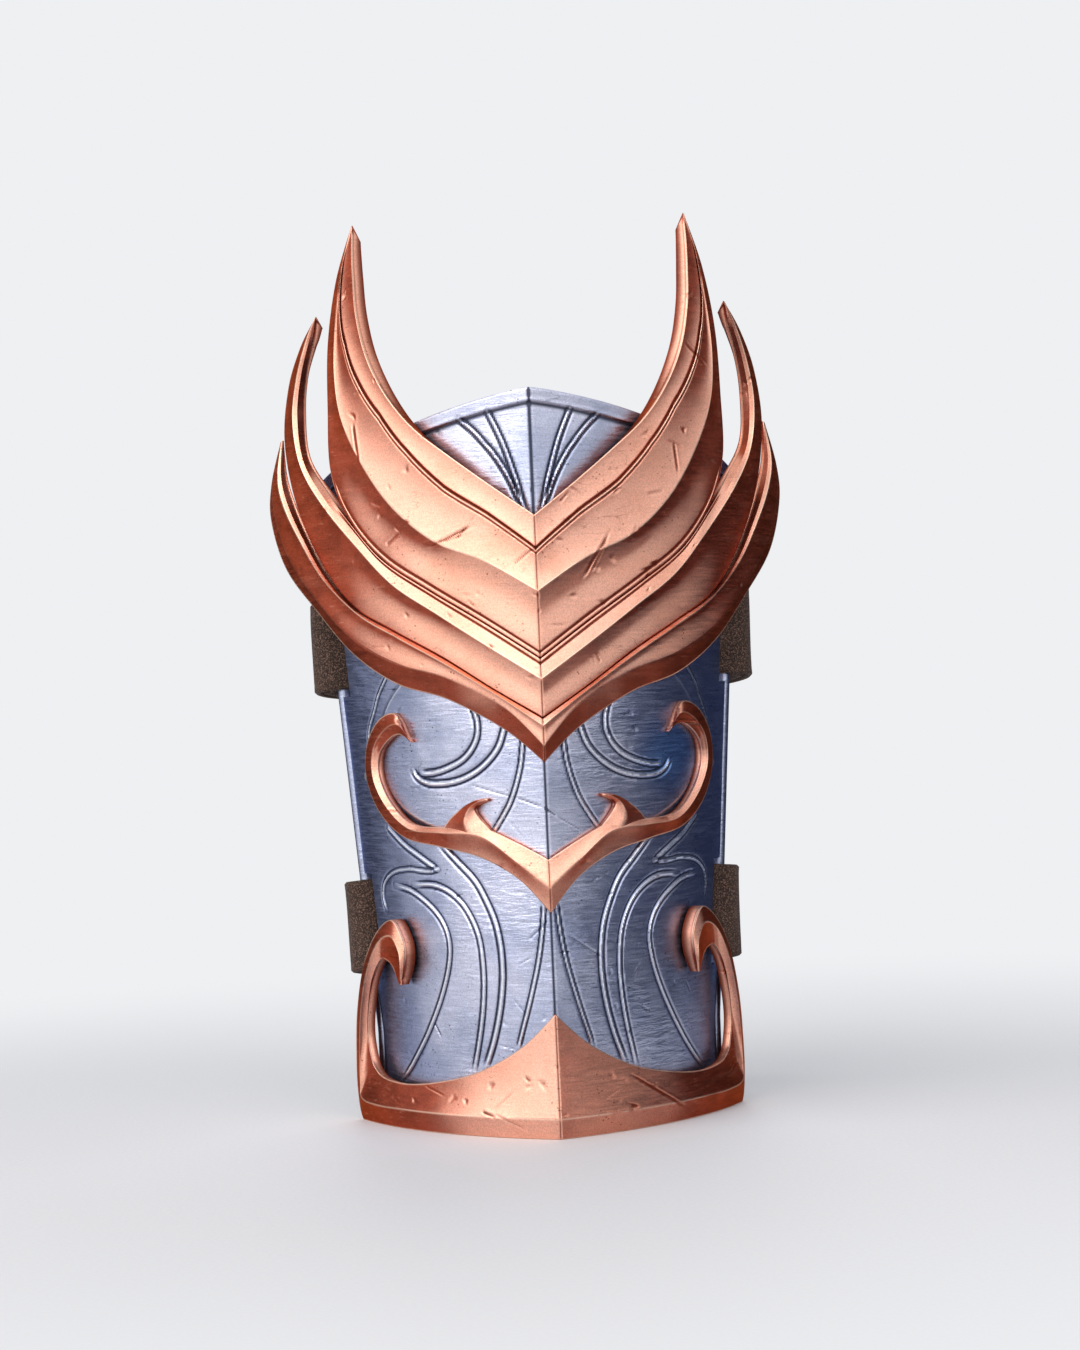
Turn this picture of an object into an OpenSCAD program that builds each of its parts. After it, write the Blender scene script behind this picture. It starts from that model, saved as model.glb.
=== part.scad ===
// Forearm guard: a keeled steel plate with a winged copper crest, a scroll trim,
// a wrist cuff with hooks, and two leather straps that close with press studs.
// It stands on the wrist end. +Z points to the elbow and the ridge faces -Y.

/* [Arm plate] */
// Height of the plate along its ridge
plate_h = 202; // [196:1:212]
// Half width between the rims at the wrist
wrist_half_w = 48; // [46:0.5:50]
// Half width between the rims at the elbow
elbow_half_w = 62; // [59:0.5:64]
// Height at which the plate starts to flare
flare_from = 25; // [15:1:30]
// Thickness of the plate
sheet_t = 1.8; // [1.4:0.1:2.4]
// Slope of each face where it leaves the ridge
keel_angle = 27; // [24:0.5:30]
// Slope of the flanks at the rims
flank_angle = 72; // [70:0.5:74]
// How much lower the elbow edge is at the rims than at the ridge
elbow_drop = 21; // [12:1:26]
// Height of the plate's lower edge above the ground
plate_lift = 1; // [0.6:0.1:2]
// Radius of the rolled rims, which the straps loop round
roll_r = 1.9; // [1.7:0.1:2.2]
// Width of the raised border along the elbow edge
border_w = 3.3; // [2.5:0.1:4.5]
// How far the border stands proud
border_proud = 0.7; // [0.4:0.1:1.2]

/* [Crest] */
// Radius of each half of the crest, seen from above
crest_r = 163; // [155:1:175]
// Thickness of the feathers along their creases
crest_t = 5; // [4.2:0.1:6]
// Thickness of the feathers where they meet each other
crest_seam_t = 3.2; // [2.6:0.1:3.6]
// Gap between two neighbouring feathers
seam_gap = 0.3; // [0.25:0.05:0.5]

/* [Scroll trim] */
// Thickness of the scroll along its ridge
scroll_t = 3.6; // [3:0.1:4.5]
// Thickness of the scroll at its edges
scroll_edge_t = 2.2; // [1.8:0.1:2.8]

/* [Wrist cuff] */
// How much larger the cuff's bending radius is than the plate's at the wrist
cuff_spread = 9.4; // [8:0.2:13]
// Thickness of the cuff along its lower bevel
cuff_t = 4.8; // [4:0.1:5.4]
// Thickness of the cuff at its edges
cuff_edge_t = 2.6; // [2.2:0.1:3.2]
// Height of the lower bevel
cuff_bevel_h = 5.5; // [4:0.5:7]

/* [Screws] */
// Radius of the screw shanks
screw_r = 1.25; // [1:0.05:1.5]
// Radius of the screw heads
screw_head_r = 2.4; // [2.2:0.1:3]
// Height of the screw heads
screw_head_h = 1.6; // [1.2:0.1:2]
// Thickness of the washers
washer_t = 0.6; // [0.5:0.1:1]
// Radius of the bosses that the screws enter
boss_r = 3; // [2.6:0.1:3.4]

/* [Straps] */
// Width of both straps
strap_w = 26; // [22:0.2:27]
// Thickness of the leather
strap_t = 1.8; // [1.5:0.1:2.2]
// Height of the upper strap's middle at the rims
upper_strap_z = 135.5; // [129:0.5:137]
// Height of the lower strap's middle at the rims
lower_strap_z = 55; // [54:0.5:57]
// How far the upper strap bulges past the rim
upper_bulge = 7; // [6.4:0.1:9]
// How far the lower strap bulges past the rim
lower_bulge = 6.2; // [6:0.1:8]
// Distance from the rims back to the short tabs
tab_reach = 22; // [20:0.5:26]
// How steeply the straps droop behind the plate
droop_angle = 9; // [5:1:12]
// Radial clearance of the loops on the rolled rims
loop_clear = 0.08; // [0.05:0.01:0.1]
// Clearance between a strap and the ends of its slot
slot_clear = 2; // [1.6:0.1:3]
// Clearance between a strap's loop and the far side of its slot
slot_room = 4; // [3:0.1:5]
// Distance of the press studs from the middle plane
snap_x = 27; // [24:0.5:28]
// How far the straps and tabs run on past the press studs
tip_past_snap = 12.5; // [10:0.5:14]

/* [Press studs and rivets] */
// Radius of the stud posts
stud_r = 1.9; // [1.6:0.1:2.1]
// Height of the stud posts
stud_h = 1.8; // [1.6:0.1:1.9]
// Side clearance of the sockets on the studs
socket_clear = 0.9; // [0.8:0.1:1.2]
// Height of the sockets
socket_h = 2.6; // [2.4:0.1:3]
// Radius of the snap caps
cap_r = 6.2; // [5.6:0.1:7]
// Height of the snap caps
cap_h = 2; // [1.5:0.1:2.5]
// Radius of the strap rivets
rivet_r = 1.4; // [1.2:0.1:1.6]
// Radius of the rivet heads
rivet_head_r = 3; // [2.6:0.1:3.4]

/* [Hidden] */
$fn = 48;

steel = [0.52, 0.56, 0.70];
copper = [0.86, 0.55, 0.42];
leather = [0.30, 0.22, 0.18];
brass = [0.72, 0.58, 0.36];
zinc = [0.62, 0.63, 0.66];

KEEL_SIN = sin(keel_angle);
KEEL_COS = cos(keel_angle);
// Clearance between pieces that are screwed face to face
fit_gap = 0.2;
// Steps between two neighbouring stations of a strip
strip_steps = 6;
// Columns across each half of the plate
plate_columns = 26;
// Overlap that makes two solids of one piece grow together
grow = 0.4;

// Sizes of the strap loops that follow from the rims
loop_in = roll_r + loop_clear;
loop_mid = loop_in + strap_t / 2;
loop_out = loop_in + strap_t;
slot_depth = loop_out + slot_room;
flange_t = 0.8;
flange_r = 4.6;
socket_gap = 0.2;
strap_reach = tab_reach + strap_t + flange_t + socket_gap + socket_h;

// Depth of the whole piece, from the crest's keel to the snap caps
front_y = lift_y(crest_r, 0, crest_t);
back_y = rim_at(upper_strap_z)[1] + (strap_reach + strap_t / 2 + cap_h) * cos(droop_angle)
    + cap_r * sin(droop_angle);
mid_y = (front_y + back_y) / 2;

// Half width and bending radius of the plate at a height
function half_w(z) = wrist_half_w
    + (elbow_half_w - wrist_half_w) * max(0, z - flare_from) / (plate_h - flare_from);
function wall_r(z) = half_w(z) / (sin(flank_angle) - KEEL_SIN);

// Depth of a keeled surface of radius r, lifted by h, at x beside the ridge
function lift_y(r, x, h) = r * KEEL_COS - sqrt(pow(r + h, 2) - pow(x + r * KEEL_SIN, 2));
function lift_angle(r, x, h) = asin((x + r * KEEL_SIN) / (r + h));

// Point of the plate at a share q of the way from the ridge to the rim
function plate_point(side, q, z, h) =
    let (r = wall_r(z))
    let (low = asin(r * KEEL_SIN / (r + h)))
    let (a = low + (flank_angle - low) * q)
    [side * ((r + h) * sin(a) - r * KEEL_SIN), r * KEEL_COS - (r + h) * cos(a), z];

// Height of the elbow edge at a share q of the way to the rim
function elbow_z(q) = plate_h - elbow_drop * pow(q, 1.25);

// Centre of the rolled rim at a height, on the right side
function rim_at(z) = plate_point(1, 1, z, -sheet_t / 2);
rim_lean = rim_at(plate_h) - rim_at(flare_from);
rim_tilt = [-atan(rim_lean[1] / rim_lean[2]),
    atan(rim_lean[0] / norm([rim_lean[1], rim_lean[2]])), 0];

// Smooth curve through a list of points, at a place s counted in points
function through(p, s) =
    let (n = len(p) - 1)
    let (i = min(floor(s), n - 1))
    let (t = s - i)
    let (a = p[max(i - 1, 0)])
    let (b = p[i])
    let (c = p[i + 1])
    let (d = p[min(i + 2, n)])
    0.5 * (2 * b + (c - a) * t + (2 * a - 5 * b + 4 * c - d) * t * t
        + (3 * b - a - 3 * c + d) * t * t * t);

// Closed skin over rings of points, capped at both ends
module skin(rings) {
    m = len(rings[0]);
    n = len(rings);
    points = [for (ring = rings) for (p = ring) p];
    sides = [for (i = [0:n - 2]) for (k = [0:m - 1])
        let (a = i * m + k)
        let (b = i * m + (k + 1) % m)
        each [[a, b, a + m], [b, b + m, a + m]]];
    first = [for (k = [0:floor(m / 2) - 1])
        each k + 1 < m - 2 - k
            ? [[k, m - 2 - k, k + 1], [k, m - 1 - k, m - 2 - k]]
            : k + 1 == m - 2 - k ? [[k, m - 1 - k, k + 1]] : []];
    last = [for (f = first) [for (v = [2, 1, 0]) f[v] + (n - 1) * m]];
    polyhedron(points, concat(sides, first, last), convexity = 8);
}

// How far the trims follow the plate's height and width
high = plate_h / 202;
crest_wide = elbow_half_w / 62;
cuff_wide = wrist_half_w / 48;
scroll_wide = (crest_wide + cuff_wide) / 2;

// Stations at the plate's size, where t is the thickness that the shares are of
function sized(stations, wide, t) = [for (s = stations)
    [for (p = s) [p[0] * wide, p[1] * high, p[2] * t]]];

// Outer and inner points of one station of a strip, from its lower edge to its upper edge.
// Each place is [x, z, thickness], tuck moves the inner edges in from the outline.
function strip_ring(side, places, r, tuck) =
    let (n = len(places) - 1)
    let (low = places[0])
    let (high = places[n])
    let (run = [high[0] - low[0], high[1] - low[1]])
    let (in_low = low + tuck[0] * [run[0], run[1], 0] / norm(run))
    let (in_high = high - tuck[1] * [run[0], run[1], 0] / norm(run))
    concat([for (p = places) [side * p[0], lift_y(r, p[0], p[2]), p[1]]],
        [for (p = [in_high, in_low])
            let (a = lift_angle(r, p[0], p[2]))
            let (x = max(0, p[0] - (p[2] - fit_gap) * sin(a) * min(1, p[0] / 8)))
            [side * x, lift_y(r, x, fit_gap), p[1]]]);

// Strip across both halves, from stations that run from the ridge to the tip
module keeled_strip(stations, r, tucks) {
    n = (len(stations) - 1) * strip_steps;
    width = len(stations[0]);
    places = [for (i = [0:n]) [for (k = [0:width - 1])
        let (p = through([for (s = stations) s[k]], i / strip_steps))
        [p[0], max(0, p[1]), p[2]]]];
    tuck_at = [for (i = [0:n]) through(tucks, i / n * (len(tucks) - 1))];
    skin([for (i = [-n:n])
        strip_ring(sign(i), places[abs(i)], r, tuck_at[abs(i)])]);
}

// Strip on one side only, such as a thorn
module side_strip(side, stations, r, tuck) {
    n = (len(stations) - 1) * strip_steps;
    width = len(stations[0]);
    rings = [for (i = [0:n]) strip_ring(side, [for (k = [0:width - 1])
        through([for (s = stations) s[k]], i / strip_steps)], r, tuck)];
    skin(side > 0 ? rings : [for (i = [n:-1:0]) rings[i]]);
}

// Depth of the plate's outer face, and the way out of it at a place
function plate_y(x, z) = lift_y(wall_r(z), x, 0);
function plate_out(side, x, z) =
    let (slope_x = (plate_y(x + 0.1, z) - plate_y(x - 0.1, z)) / 0.2)
    let (slope_z = (plate_y(x, z + 0.1) - plate_y(x, z - 0.1)) / 0.2)
    let (out = [side * slope_x, -1, slope_z])
    out / norm(out);

// Places its children on the plate, with their +Z pointing out of it
module on_plate(side, x, z) {
    out = plate_out(side, x, z);
    translate([side * x, plate_y(x, z), z])
        rotate([0, acos(out[2]), atan2(out[1], out[0])])
            children();
}

// Room between the plate and the underside of a trim of radius r
function room(x, z, r) =
    let (out = plate_out(1, x, z))
    max(fit_gap, (plate_y(x, z) - lift_y(r, x, fit_gap)) * -out[1]);

// Radius of the scroll, which follows the plate at its own height, and of the cuff
scroll_r = wall_r(112 * high);
cuff_r = wall_r(flare_from) + cuff_spread;

// Screw sites: [distance from the ridge plane, height, room between plate and trim]
function sites(places, wide, r) = [for (p = places)
    [p[0] * wide, p[1] * high, room(p[0] * wide, p[1] * high, r)]];
upper_sites = sites([[14, 158], [44, 176]], crest_wide, crest_r);
middle_sites = sites([[14, 130], [44, 151.5]], crest_wide, crest_r);
lower_sites = sites([[10, 116.5], [44, 136.5]], crest_wide, crest_r);
scroll_sites = sites([[6, 73], [27, 80.8], [46.8, 98]], scroll_wide, scroll_r);
cuff_sites = sites([[12, 10], [44, 6.5]], cuff_wide, cuff_r);
// How far a screw enters the crest, the scroll and the cuff
crest_bite = crest_t * 0.6;
scroll_bite = scroll_t * 0.53;
cuff_bite = cuff_t / 2;

module screws(sites, bite) {
    for (side = [-1, 1], s = sites)
        on_plate(side, s[0], s[1])
            translate([0, 0, -sheet_t - washer_t - screw_head_h]) {
                difference() {
                    cylinder(r = screw_head_r, h = screw_head_h);
                    translate([0, 0, -grow])
                        cylinder(r = screw_r * 0.8, h = screw_head_h / 2 + grow, $fn = 6);
                }
                cylinder(r = screw_r, h = screw_head_h + washer_t + sheet_t + s[2] + bite);
            }
}

module washers(sites) {
    for (side = [-1, 1], s = sites)
        on_plate(side, s[0], s[1])
            translate([0, 0, -sheet_t - washer_t + 0.02])
                difference() {
                    cylinder(r = screw_head_r + 0.6, h = washer_t - 0.14);
                    translate([0, 0, -1])
                        cylinder(r = screw_r + 0.1, h = washer_t + 2);
                }
}

module bosses(sites, bite) {
    for (side = [-1, 1], s = sites)
        if (s[2] > 1)
            on_plate(side, s[0], s[1])
                translate([0, 0, fit_gap])
                    cylinder(r = boss_r, h = s[2] - fit_gap + bite / 2);
}

module screw_holes(sites, bite) {
    for (side = [-1, 1], s = sites)
        on_plate(side, s[0], s[1])
            translate([0, 0, -sheet_t - 2])
                cylinder(r = screw_r + 0.05, h = sheet_t + 2 + s[2] + bite + 0.2);
}

// Steel plate with rolled rims, strap slots and screw holes
module plate_sheet() {
    drops = [0, border_w, border_w + 1];
    proud = [border_proud, border_proud, 0];
    skin([for (i = [-plate_columns:plate_columns])
        let (side = i < 0 ? -1 : 1)
        let (q = abs(i) / plate_columns)
        let (zs = concat([plate_lift, flare_from], [for (k = [2, 1, 0]) elbow_z(q) - drops[k]]))
        let (hs = [0, 0, proud[2], proud[1], proud[0]])
        concat([for (k = [0:4]) plate_point(side, q, zs[k], hs[k])],
            [for (k = [4:-1:0]) plate_point(side, q, zs[k], -sheet_t)])]);
}

module rim_roll(side) {
    low = rim_at(plate_lift);
    bend = rim_at(flare_from);
    high = rim_at(elbow_z(1) - 0.3);
    mirror([side < 0 ? 1 : 0, 0, 0]) {
        translate(low)
            cylinder(r = roll_r - 0.15, h = flare_from - plate_lift + grow);
        translate(bend)
            rotate(rim_tilt)
                translate([0, 0, -grow])
                    cylinder(r = roll_r, h = norm(high - bend) + grow);
    }
}

// Places its children on the right rim at a height, with +Z along the rim
module on_rim(z) {
    translate(rim_at(z))
        rotate(rim_tilt)
            children();
}

module strap_slot(z) {
    on_rim(z)
        rotate([0, 0, flank_angle])
            translate([-slot_depth, -4 - sheet_t, -strap_w / 2 - slot_clear])
                cube([slot_depth + 4, 8 + sheet_t, strap_w + 2 * slot_clear]);
}

module shell() {
    color(steel)
        union() {
            difference() {
                plate_sheet();
                for (z = [upper_strap_z, lower_strap_z]) {
                    strap_slot(z);
                    mirror([1, 0, 0])
                        strap_slot(z);
                }
                screw_holes(concat(upper_sites, middle_sites, lower_sites, scroll_sites,
                    cuff_sites), 0);
            }
            rim_roll(1);
            rim_roll(-1);
        }
}

// Stations of the feathers: lower edge, crease and upper edge, each [x, z, share of the thickness]
function seam(x, z, dz) = [x, z + dz * seam_gap / high, crest_seam_t / crest_t];
upper_stations = [
    [seam(0, 129, 0.5), [0, 147, 1], [0, 167.5, 0.8]],
    [seam(15, 139.5, 0.5), [14, 156, 1], [11, 176, 0.8]],
    [seam(29, 148.8, 0.5), [27, 162, 1], [22, 185, 0.8]],
    [seam(41.5, 158, 0.5), [38, 172, 1], [31.5, 193.5, 0.8]],
    [seam(50.5, 170, 0.5), [46, 184.5, 1], [38.5, 203, 0.86]],
    [[55.3, 184, 0.6], [51.5, 198, 1], [43.5, 214, 0.9]],
    [[55.4, 202, 0.6], [53, 211, 0.94], [46, 226, 0.9]],
    [[54.6, 220, 0.48], [52, 226, 0.84], [46.5, 237, 0.84]],
    [[51.5, 237, 0.36], [49.8, 239.5, 0.64], [46.4, 245.5, 0.64]],
    [[46.6, 250.6, 0.14], [46.4, 251.1, 0.2], [46, 251.5, 0.16]]];
upper_tucks = [[0, 2.5], [0, 2.2], [0, 1.5], [0, 0.6], [0, 0], [0, 0], [0, 0], [0, 0], [0, 0]];

middle_stations = [
    [seam(0, 113, 0.5), [0, 123.4, 1], seam(0, 129, -0.5)],
    [seam(13, 121.3, 0.5), [14.5, 133.3, 1], seam(15, 139.5, -0.5)],
    [seam(26, 130.2, 0.5), [27, 142.2, 1], seam(29, 148.8, -0.5)],
    [seam(39.3, 138.2, 0.5), [39, 151, 1], seam(41.5, 158, -0.5)],
    [seam(50, 145.4, 0.5), [48.5, 162, 1], seam(50.2, 169, -0.5)],
    [[58.5, 157.5, 0.6], [58.5, 175.5, 1], [56.2, 178.5, 0.32]],
    [[65.8, 175.5, 0.6], [64.2, 187, 1], [61.7, 189, 0.18]],
    [[68.8, 194, 0.52], [65.9, 200, 0.92], [62.5, 201.5, 0.16]],
    [[67, 209.5, 0.44], [64.2, 211.5, 0.8], [61.2, 212.5, 0.16]],
    [[62.8, 220.5, 0.32], [61, 221.5, 0.6], [58.6, 222, 0.14]],
    [[58.2, 227.6, 0.12], [58, 228, 0.18], [57.6, 228.2, 0.12]]];
middle_tucks = [[0, 0], [0, 0], [0, 0], [0, 0]];

lower_stations = [
    [[0, 101, 0.28], [0, 105.5, 0.92], [0, 111, 1], seam(0, 113, -0.5)],
    [[10, 110, 0.28], [10.5, 116.5, 0.92], [11, 119, 1], seam(13, 121.3, -0.5)],
    [[25, 118.8, 0.28], [25, 124.7, 0.92], [25, 128.3, 1], seam(26, 130.2, -0.5)],
    [[39, 123.7, 0.28], [38.5, 129, 0.92], [38.3, 136.5, 1], seam(39.3, 138.2, -0.5)],
    [[51, 132.5, 0.32], [50.2, 136, 0.92], [49, 143.5, 1], seam(50, 145, -0.5)],
    [[61, 145, 0.4], [60.2, 147.3, 0.88], [58.7, 154, 1], [57.7, 155.2, 0.4]],
    [[70, 158, 0.4], [68.6, 160.5, 0.8], [65.5, 166.2, 1], [63.3, 167, 0.24]],
    [[74.2, 172.5, 0.36], [72.8, 174, 0.72], [69.8, 176.2, 0.88], [67, 176.8, 0.18]],
    [[73.7, 183, 0.28], [72.9, 183.6, 0.56], [71.3, 184.6, 0.68], [69, 185, 0.14]],
    [[70.4, 194.5, 0.1], [70.2, 194.9, 0.16], [69.9, 195.2, 0.16], [69.5, 195.3, 0.1]]];
lower_tucks = [[1.2, 0], [1, 0], [0.6, 0], [0, 0]];

module feather(stations, tucks, sites) {
    color(copper)
        difference() {
            union() {
                keeled_strip(sized(stations, crest_wide, crest_t), crest_r, tucks);
                bosses(sites, crest_bite);
            }
            screw_holes(sites, crest_bite);
        }
}

module crest_upper() {
    feather(upper_stations, upper_tucks, upper_sites);
}

module crest_middle() {
    feather(middle_stations, middle_tucks, middle_sites);
}

module crest_lower() {
    feather(lower_stations, lower_tucks, lower_sites);
}

// Scroll trim: arms with hooks, a lower point and two thorns
function edge(x, z) = [x, z, scroll_edge_t / scroll_t];
function ridge(x, z) = [x, z, 1];
scroll_stations = [
    [edge(0, 60.5), ridge(0, 67.5), edge(0, 75)],
    [edge(8, 69.6), ridge(8.6, 74.6), edge(9, 80)],
    [edge(18, 75.6), ridge(18, 79.6), edge(18, 84)],
    [edge(29, 78.5), ridge(28.8, 81.2), edge(28.5, 84)],
    [edge(38.7, 81), ridge(37.6, 83), edge(36.6, 85)],
    [edge(45.4, 87.5), ridge(43.7, 89), edge(42, 90.5)],
    [edge(49, 97), ridge(47, 97.3), edge(45, 97.6)],
    [edge(48.6, 106.6), ridge(46.8, 105.4), edge(44.8, 104.2)],
    [edge(45, 113.6), ridge(43.3, 111), edge(41.8, 108.4)],
    [edge(40, 115.4), ridge(39.4, 112.4), edge(38.8, 109.6)],
    [edge(36.8, 108.9), edge(36.2, 108.1), edge(35.8, 107.4)]];
thorn_stations = [
    [edge(27.6, 81.6), ridge(22, 80), edge(15.6, 79.6)],
    [edge(26.4, 85.7), ridge(21.8, 85.2), edge(17, 85)],
    [edge(22.6, 89.2), ridge(20.9, 88.7), edge(19, 88.2)],
    [edge(19, 91.2), ridge(18.6, 90.5), edge(18.3, 89.8)],
    [edge(15.8, 91.7), edge(15.7, 91.4), edge(15.6, 91.1)]];

module scroll_trim() {
    color(copper)
        difference() {
            union() {
                keeled_strip(sized(scroll_stations, scroll_wide, scroll_t), scroll_r,
                    [[0.4, 0.4], [0, 0]]);
                for (side = [-1, 1])
                    side_strip(side, sized(thorn_stations, scroll_wide, scroll_t), scroll_r, [0, 0]);
            }
            screw_holes(scroll_sites, scroll_bite);
        }
}

// Wrist cuff: a peaked band whose ends turn up into hooks
function cuff_low(x, z) = [x, z, 0.79];
function cuff_bevel(x, z) = [x, z, 1];
function cuff_edge(x, z) = [x, z, cuff_edge_t / cuff_t];
bevel_z = cuff_bevel_h / high;
cuff_stations = [
    [cuff_low(0, 0), cuff_bevel(0, bevel_z), cuff_edge(0, 33.5)],
    [cuff_low(11, 0), cuff_bevel(11, bevel_z), cuff_edge(9, 24.6)],
    [cuff_low(22, 0), cuff_bevel(22, bevel_z), cuff_edge(20.5, 17.6)],
    [cuff_low(33, 0), cuff_bevel(33, bevel_z), cuff_edge(31, 14.1)],
    [cuff_low(43, 0), cuff_bevel(43, bevel_z), cuff_edge(40.5, 12.4)],
    [cuff_low(50.5, 0), cuff_bevel(50.3, bevel_z), cuff_edge(47, 13)],
    [cuff_low(54.2, 0), cuff_bevel(54.4, bevel_z + 1), cuff_edge(49.8, 15.2)],
    [cuff_low(55.6, 8), cuff_bevel(54.7, 11), cuff_edge(51, 18.5)],
    [cuff_low(55.6, 19), cuff_bevel(54.4, 20.2), cuff_edge(51.8, 25.4)],
    [cuff_low(54.8, 31), cuff_bevel(53.5, 31.8), cuff_edge(51, 34)],
    [cuff_low(52.4, 43.8), cuff_bevel(51.2, 43.2), cuff_edge(49.3, 41.6)],
    [cuff_low(48.6, 53.2), cuff_bevel(47.9, 51.2), cuff_edge(47, 46.4)],
    [cuff_low(43.6, 58), cuff_bevel(44.2, 53.6), cuff_edge(45.2, 46.2)],
    [cuff_low(40.4, 52.2), cuff_bevel(42, 49.6), cuff_edge(44, 45)],
    [cuff_low(40.3, 46), cuff_bevel(41.6, 45), cuff_edge(43.1, 43)],
    [cuff_edge(41.3, 39.9), cuff_edge(41.7, 39.8), cuff_edge(42.1, 39.8)]];

module cuff_band() {
    color(copper)
        difference() {
            union() {
                keeled_strip(sized(cuff_stations, cuff_wide, cuff_t), cuff_r, [[0, 0.6], [0, 0]]);
                bosses(cuff_sites, cuff_bite);
            }
            screw_holes(cuff_sites, cuff_bite);
        }
}

// Centre line of a strap in its own plane, from its loop on the rim to its straight run.
// X points out past the rim and Y points back.
function strap_line(bulge, reach) = [
    [-0.6, -loop_mid + 0.35], [bulge * 0.42, -loop_mid + 0.6], [bulge * 0.83, 0.3], [bulge, 4.6],
    [bulge * 0.88, reach * 0.42], [bulge * 0.4, reach * 0.68], [-3, reach * 0.89],
    [-8, reach * 0.985], [-12.5, reach], [-16, reach]];

// Direction of the centre line at a place counted in points
function strap_way(line, s) =
    let (d = through(line, min(s + 0.01, len(line) - 1)) - through(line, max(s - 0.01, 0)))
    d / norm(d);
function strap_side(line, s, off) =
    let (d = strap_way(line, s))
    through(line, s) + off * [-d[1], d[0]];

// Points beside the centre line, off to its inner side by a share of the thickness
function beside(line, from, to, share) =
    let (n = round(abs(to - from) * 5))
    [for (i = [0:n]) strap_side(line, from + (to - from) * i / n, share * strap_t)];

// Places on the centre line where the folded end starts, is riveted and stops
fold_start = 3;
rivet_place = 5.3;
fold_end = 6;

// Side view of the leather: the run to the tip and the folded end beside it
module strap_outline(line, tip) {
    last = len(line) - 1;
    reach = line[last][1];
    polygon(concat(beside(line, 0, last, -0.5),
        [[tip, reach + strap_t / 2], [tip, reach - strap_t / 2]],
        beside(line, last, fold_end, 0.5), beside(line, fold_end, fold_start, 1.45),
        [[-0.2, loop_out - 0.3], [-0.4, loop_in - 0.5]]));
}

// Right-hand strap or tab: a loop round the rim, the folded end and the run to the tip
module strap_body(z, bulge, reach, tip) {
    line = strap_line(bulge, reach);
    round_r = strap_w / 2 + 0.6;
    difference() {
        union() {
            on_rim(z)
                translate([0, 0, -strap_w / 2])
                    cylinder(r = loop_out, h = strap_w);
            in_strap_plane(z)
                intersection() {
                    translate([0, 0, -strap_w / 2])
                        linear_extrude(height = strap_w)
                            strap_outline(line, tip);
                    translate([tip + round_r, reach + 2, 0])
                        rotate([90, 0, 0])
                            strap_tip_outline(round_r, -tip);
                }
        }
        on_rim(z)
            translate([0, 0, -strap_w])
                cylinder(r = loop_in, h = 2 * strap_w);
        rivet_holes(z, line);
    }
}

// The strap's width seen from behind, with a round tip
module strap_tip_outline(round_r, length) {
    cylinder(r = round_r, h = 2 * strap_reach);
    translate([-1, -round_r - 1, 0])
        cube([length + 30, 2 * round_r + 2, 2 * strap_reach]);
}

// The plane that a strap lies in: level from side to side and drooping behind
module in_strap_plane(z) {
    translate(rim_at(z))
        rotate([-droop_angle, 0, 0])
            children();
}

// Places its children on a strap's outer face at a place on its line, +Z pointing out
module on_strap(z, line, s) {
    p = through(line, s);
    d = strap_way(line, s);
    in_strap_plane(z)
        translate([p[0], p[1], 0])
            rotate([0, 0, atan2(d[1], d[0]) - 180])
                rotate([-90, 0, 0])
                    translate([0, 0, strap_t / 2])
                        children();
}

rivet_spread = strap_w / 3.4;

module rivet_holes(z, line) {
    for (v = [-1, 1])
        on_strap(z, line, rivet_place)
            translate([0, v * rivet_spread, -2 * strap_t - 1])
                cylinder(r = rivet_r + 0.05, h = 2 * strap_t + 2);
}

module rivets(z, bulge, reach) {
    line = strap_line(bulge, reach);
    color(copper)
        for (v = [-1, 1])
            on_strap(z, line, rivet_place)
                translate([0, v * rivet_spread, 0]) {
                    translate([0, 0, 0.1])
                        cylinder(r1 = rivet_head_r, r2 = rivet_head_r * 0.6, h = 1);
                    translate([0, 0, -2 * strap_t - 1.2])
                        cylinder(r = rivet_head_r * 0.8, h = 0.9);
                    translate([0, 0, -2 * strap_t - 0.8])
                        cylinder(r = rivet_r, h = 2 * strap_t + 1.3);
                }
}

// Distance from the rim's centre to the press stud, measured across the strap's plane
function snap_run(z) = rim_at(z)[0] + snap_x;
function strap_tip_x(z) = -snap_run(z) - tip_past_snap;
// The tab comes from the other side, so it is measured from the other rim
function tab_run(z) = rim_at(z)[0] - snap_x;
function tab_tip_x(z) = -tab_run(z) - tip_past_snap;

// Places its children at the press stud, +Z pointing back, level with the tab's outer face
module at_snap(z) {
    translate([0, rim_at(z)[1], rim_at(z)[2]])
        rotate([-droop_angle, 0, 0])
            translate([-snap_x, tab_reach + strap_t / 2, 0])
                rotate([-90, 0, 0])
                    children();
}

module strap(z, bulge) {
    color(leather)
        difference() {
            strap_body(z, bulge, strap_reach, strap_tip_x(z));
            at_snap(z)
                translate([0, 0, flange_t + socket_gap])
                    cylinder(r = rivet_r + 0.1, h = socket_h + strap_t + 4);
        }
}

module tab(z, bulge) {
    color(leather)
        difference() {
            mirror([1, 0, 0])
                strap_body(z, bulge, tab_reach, tab_tip_x(z));
            at_snap(z)
                translate([0, 0, -strap_t - 2])
                    cylinder(r = rivet_r + 0.1, h = strap_t + 4);
        }
}

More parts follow.
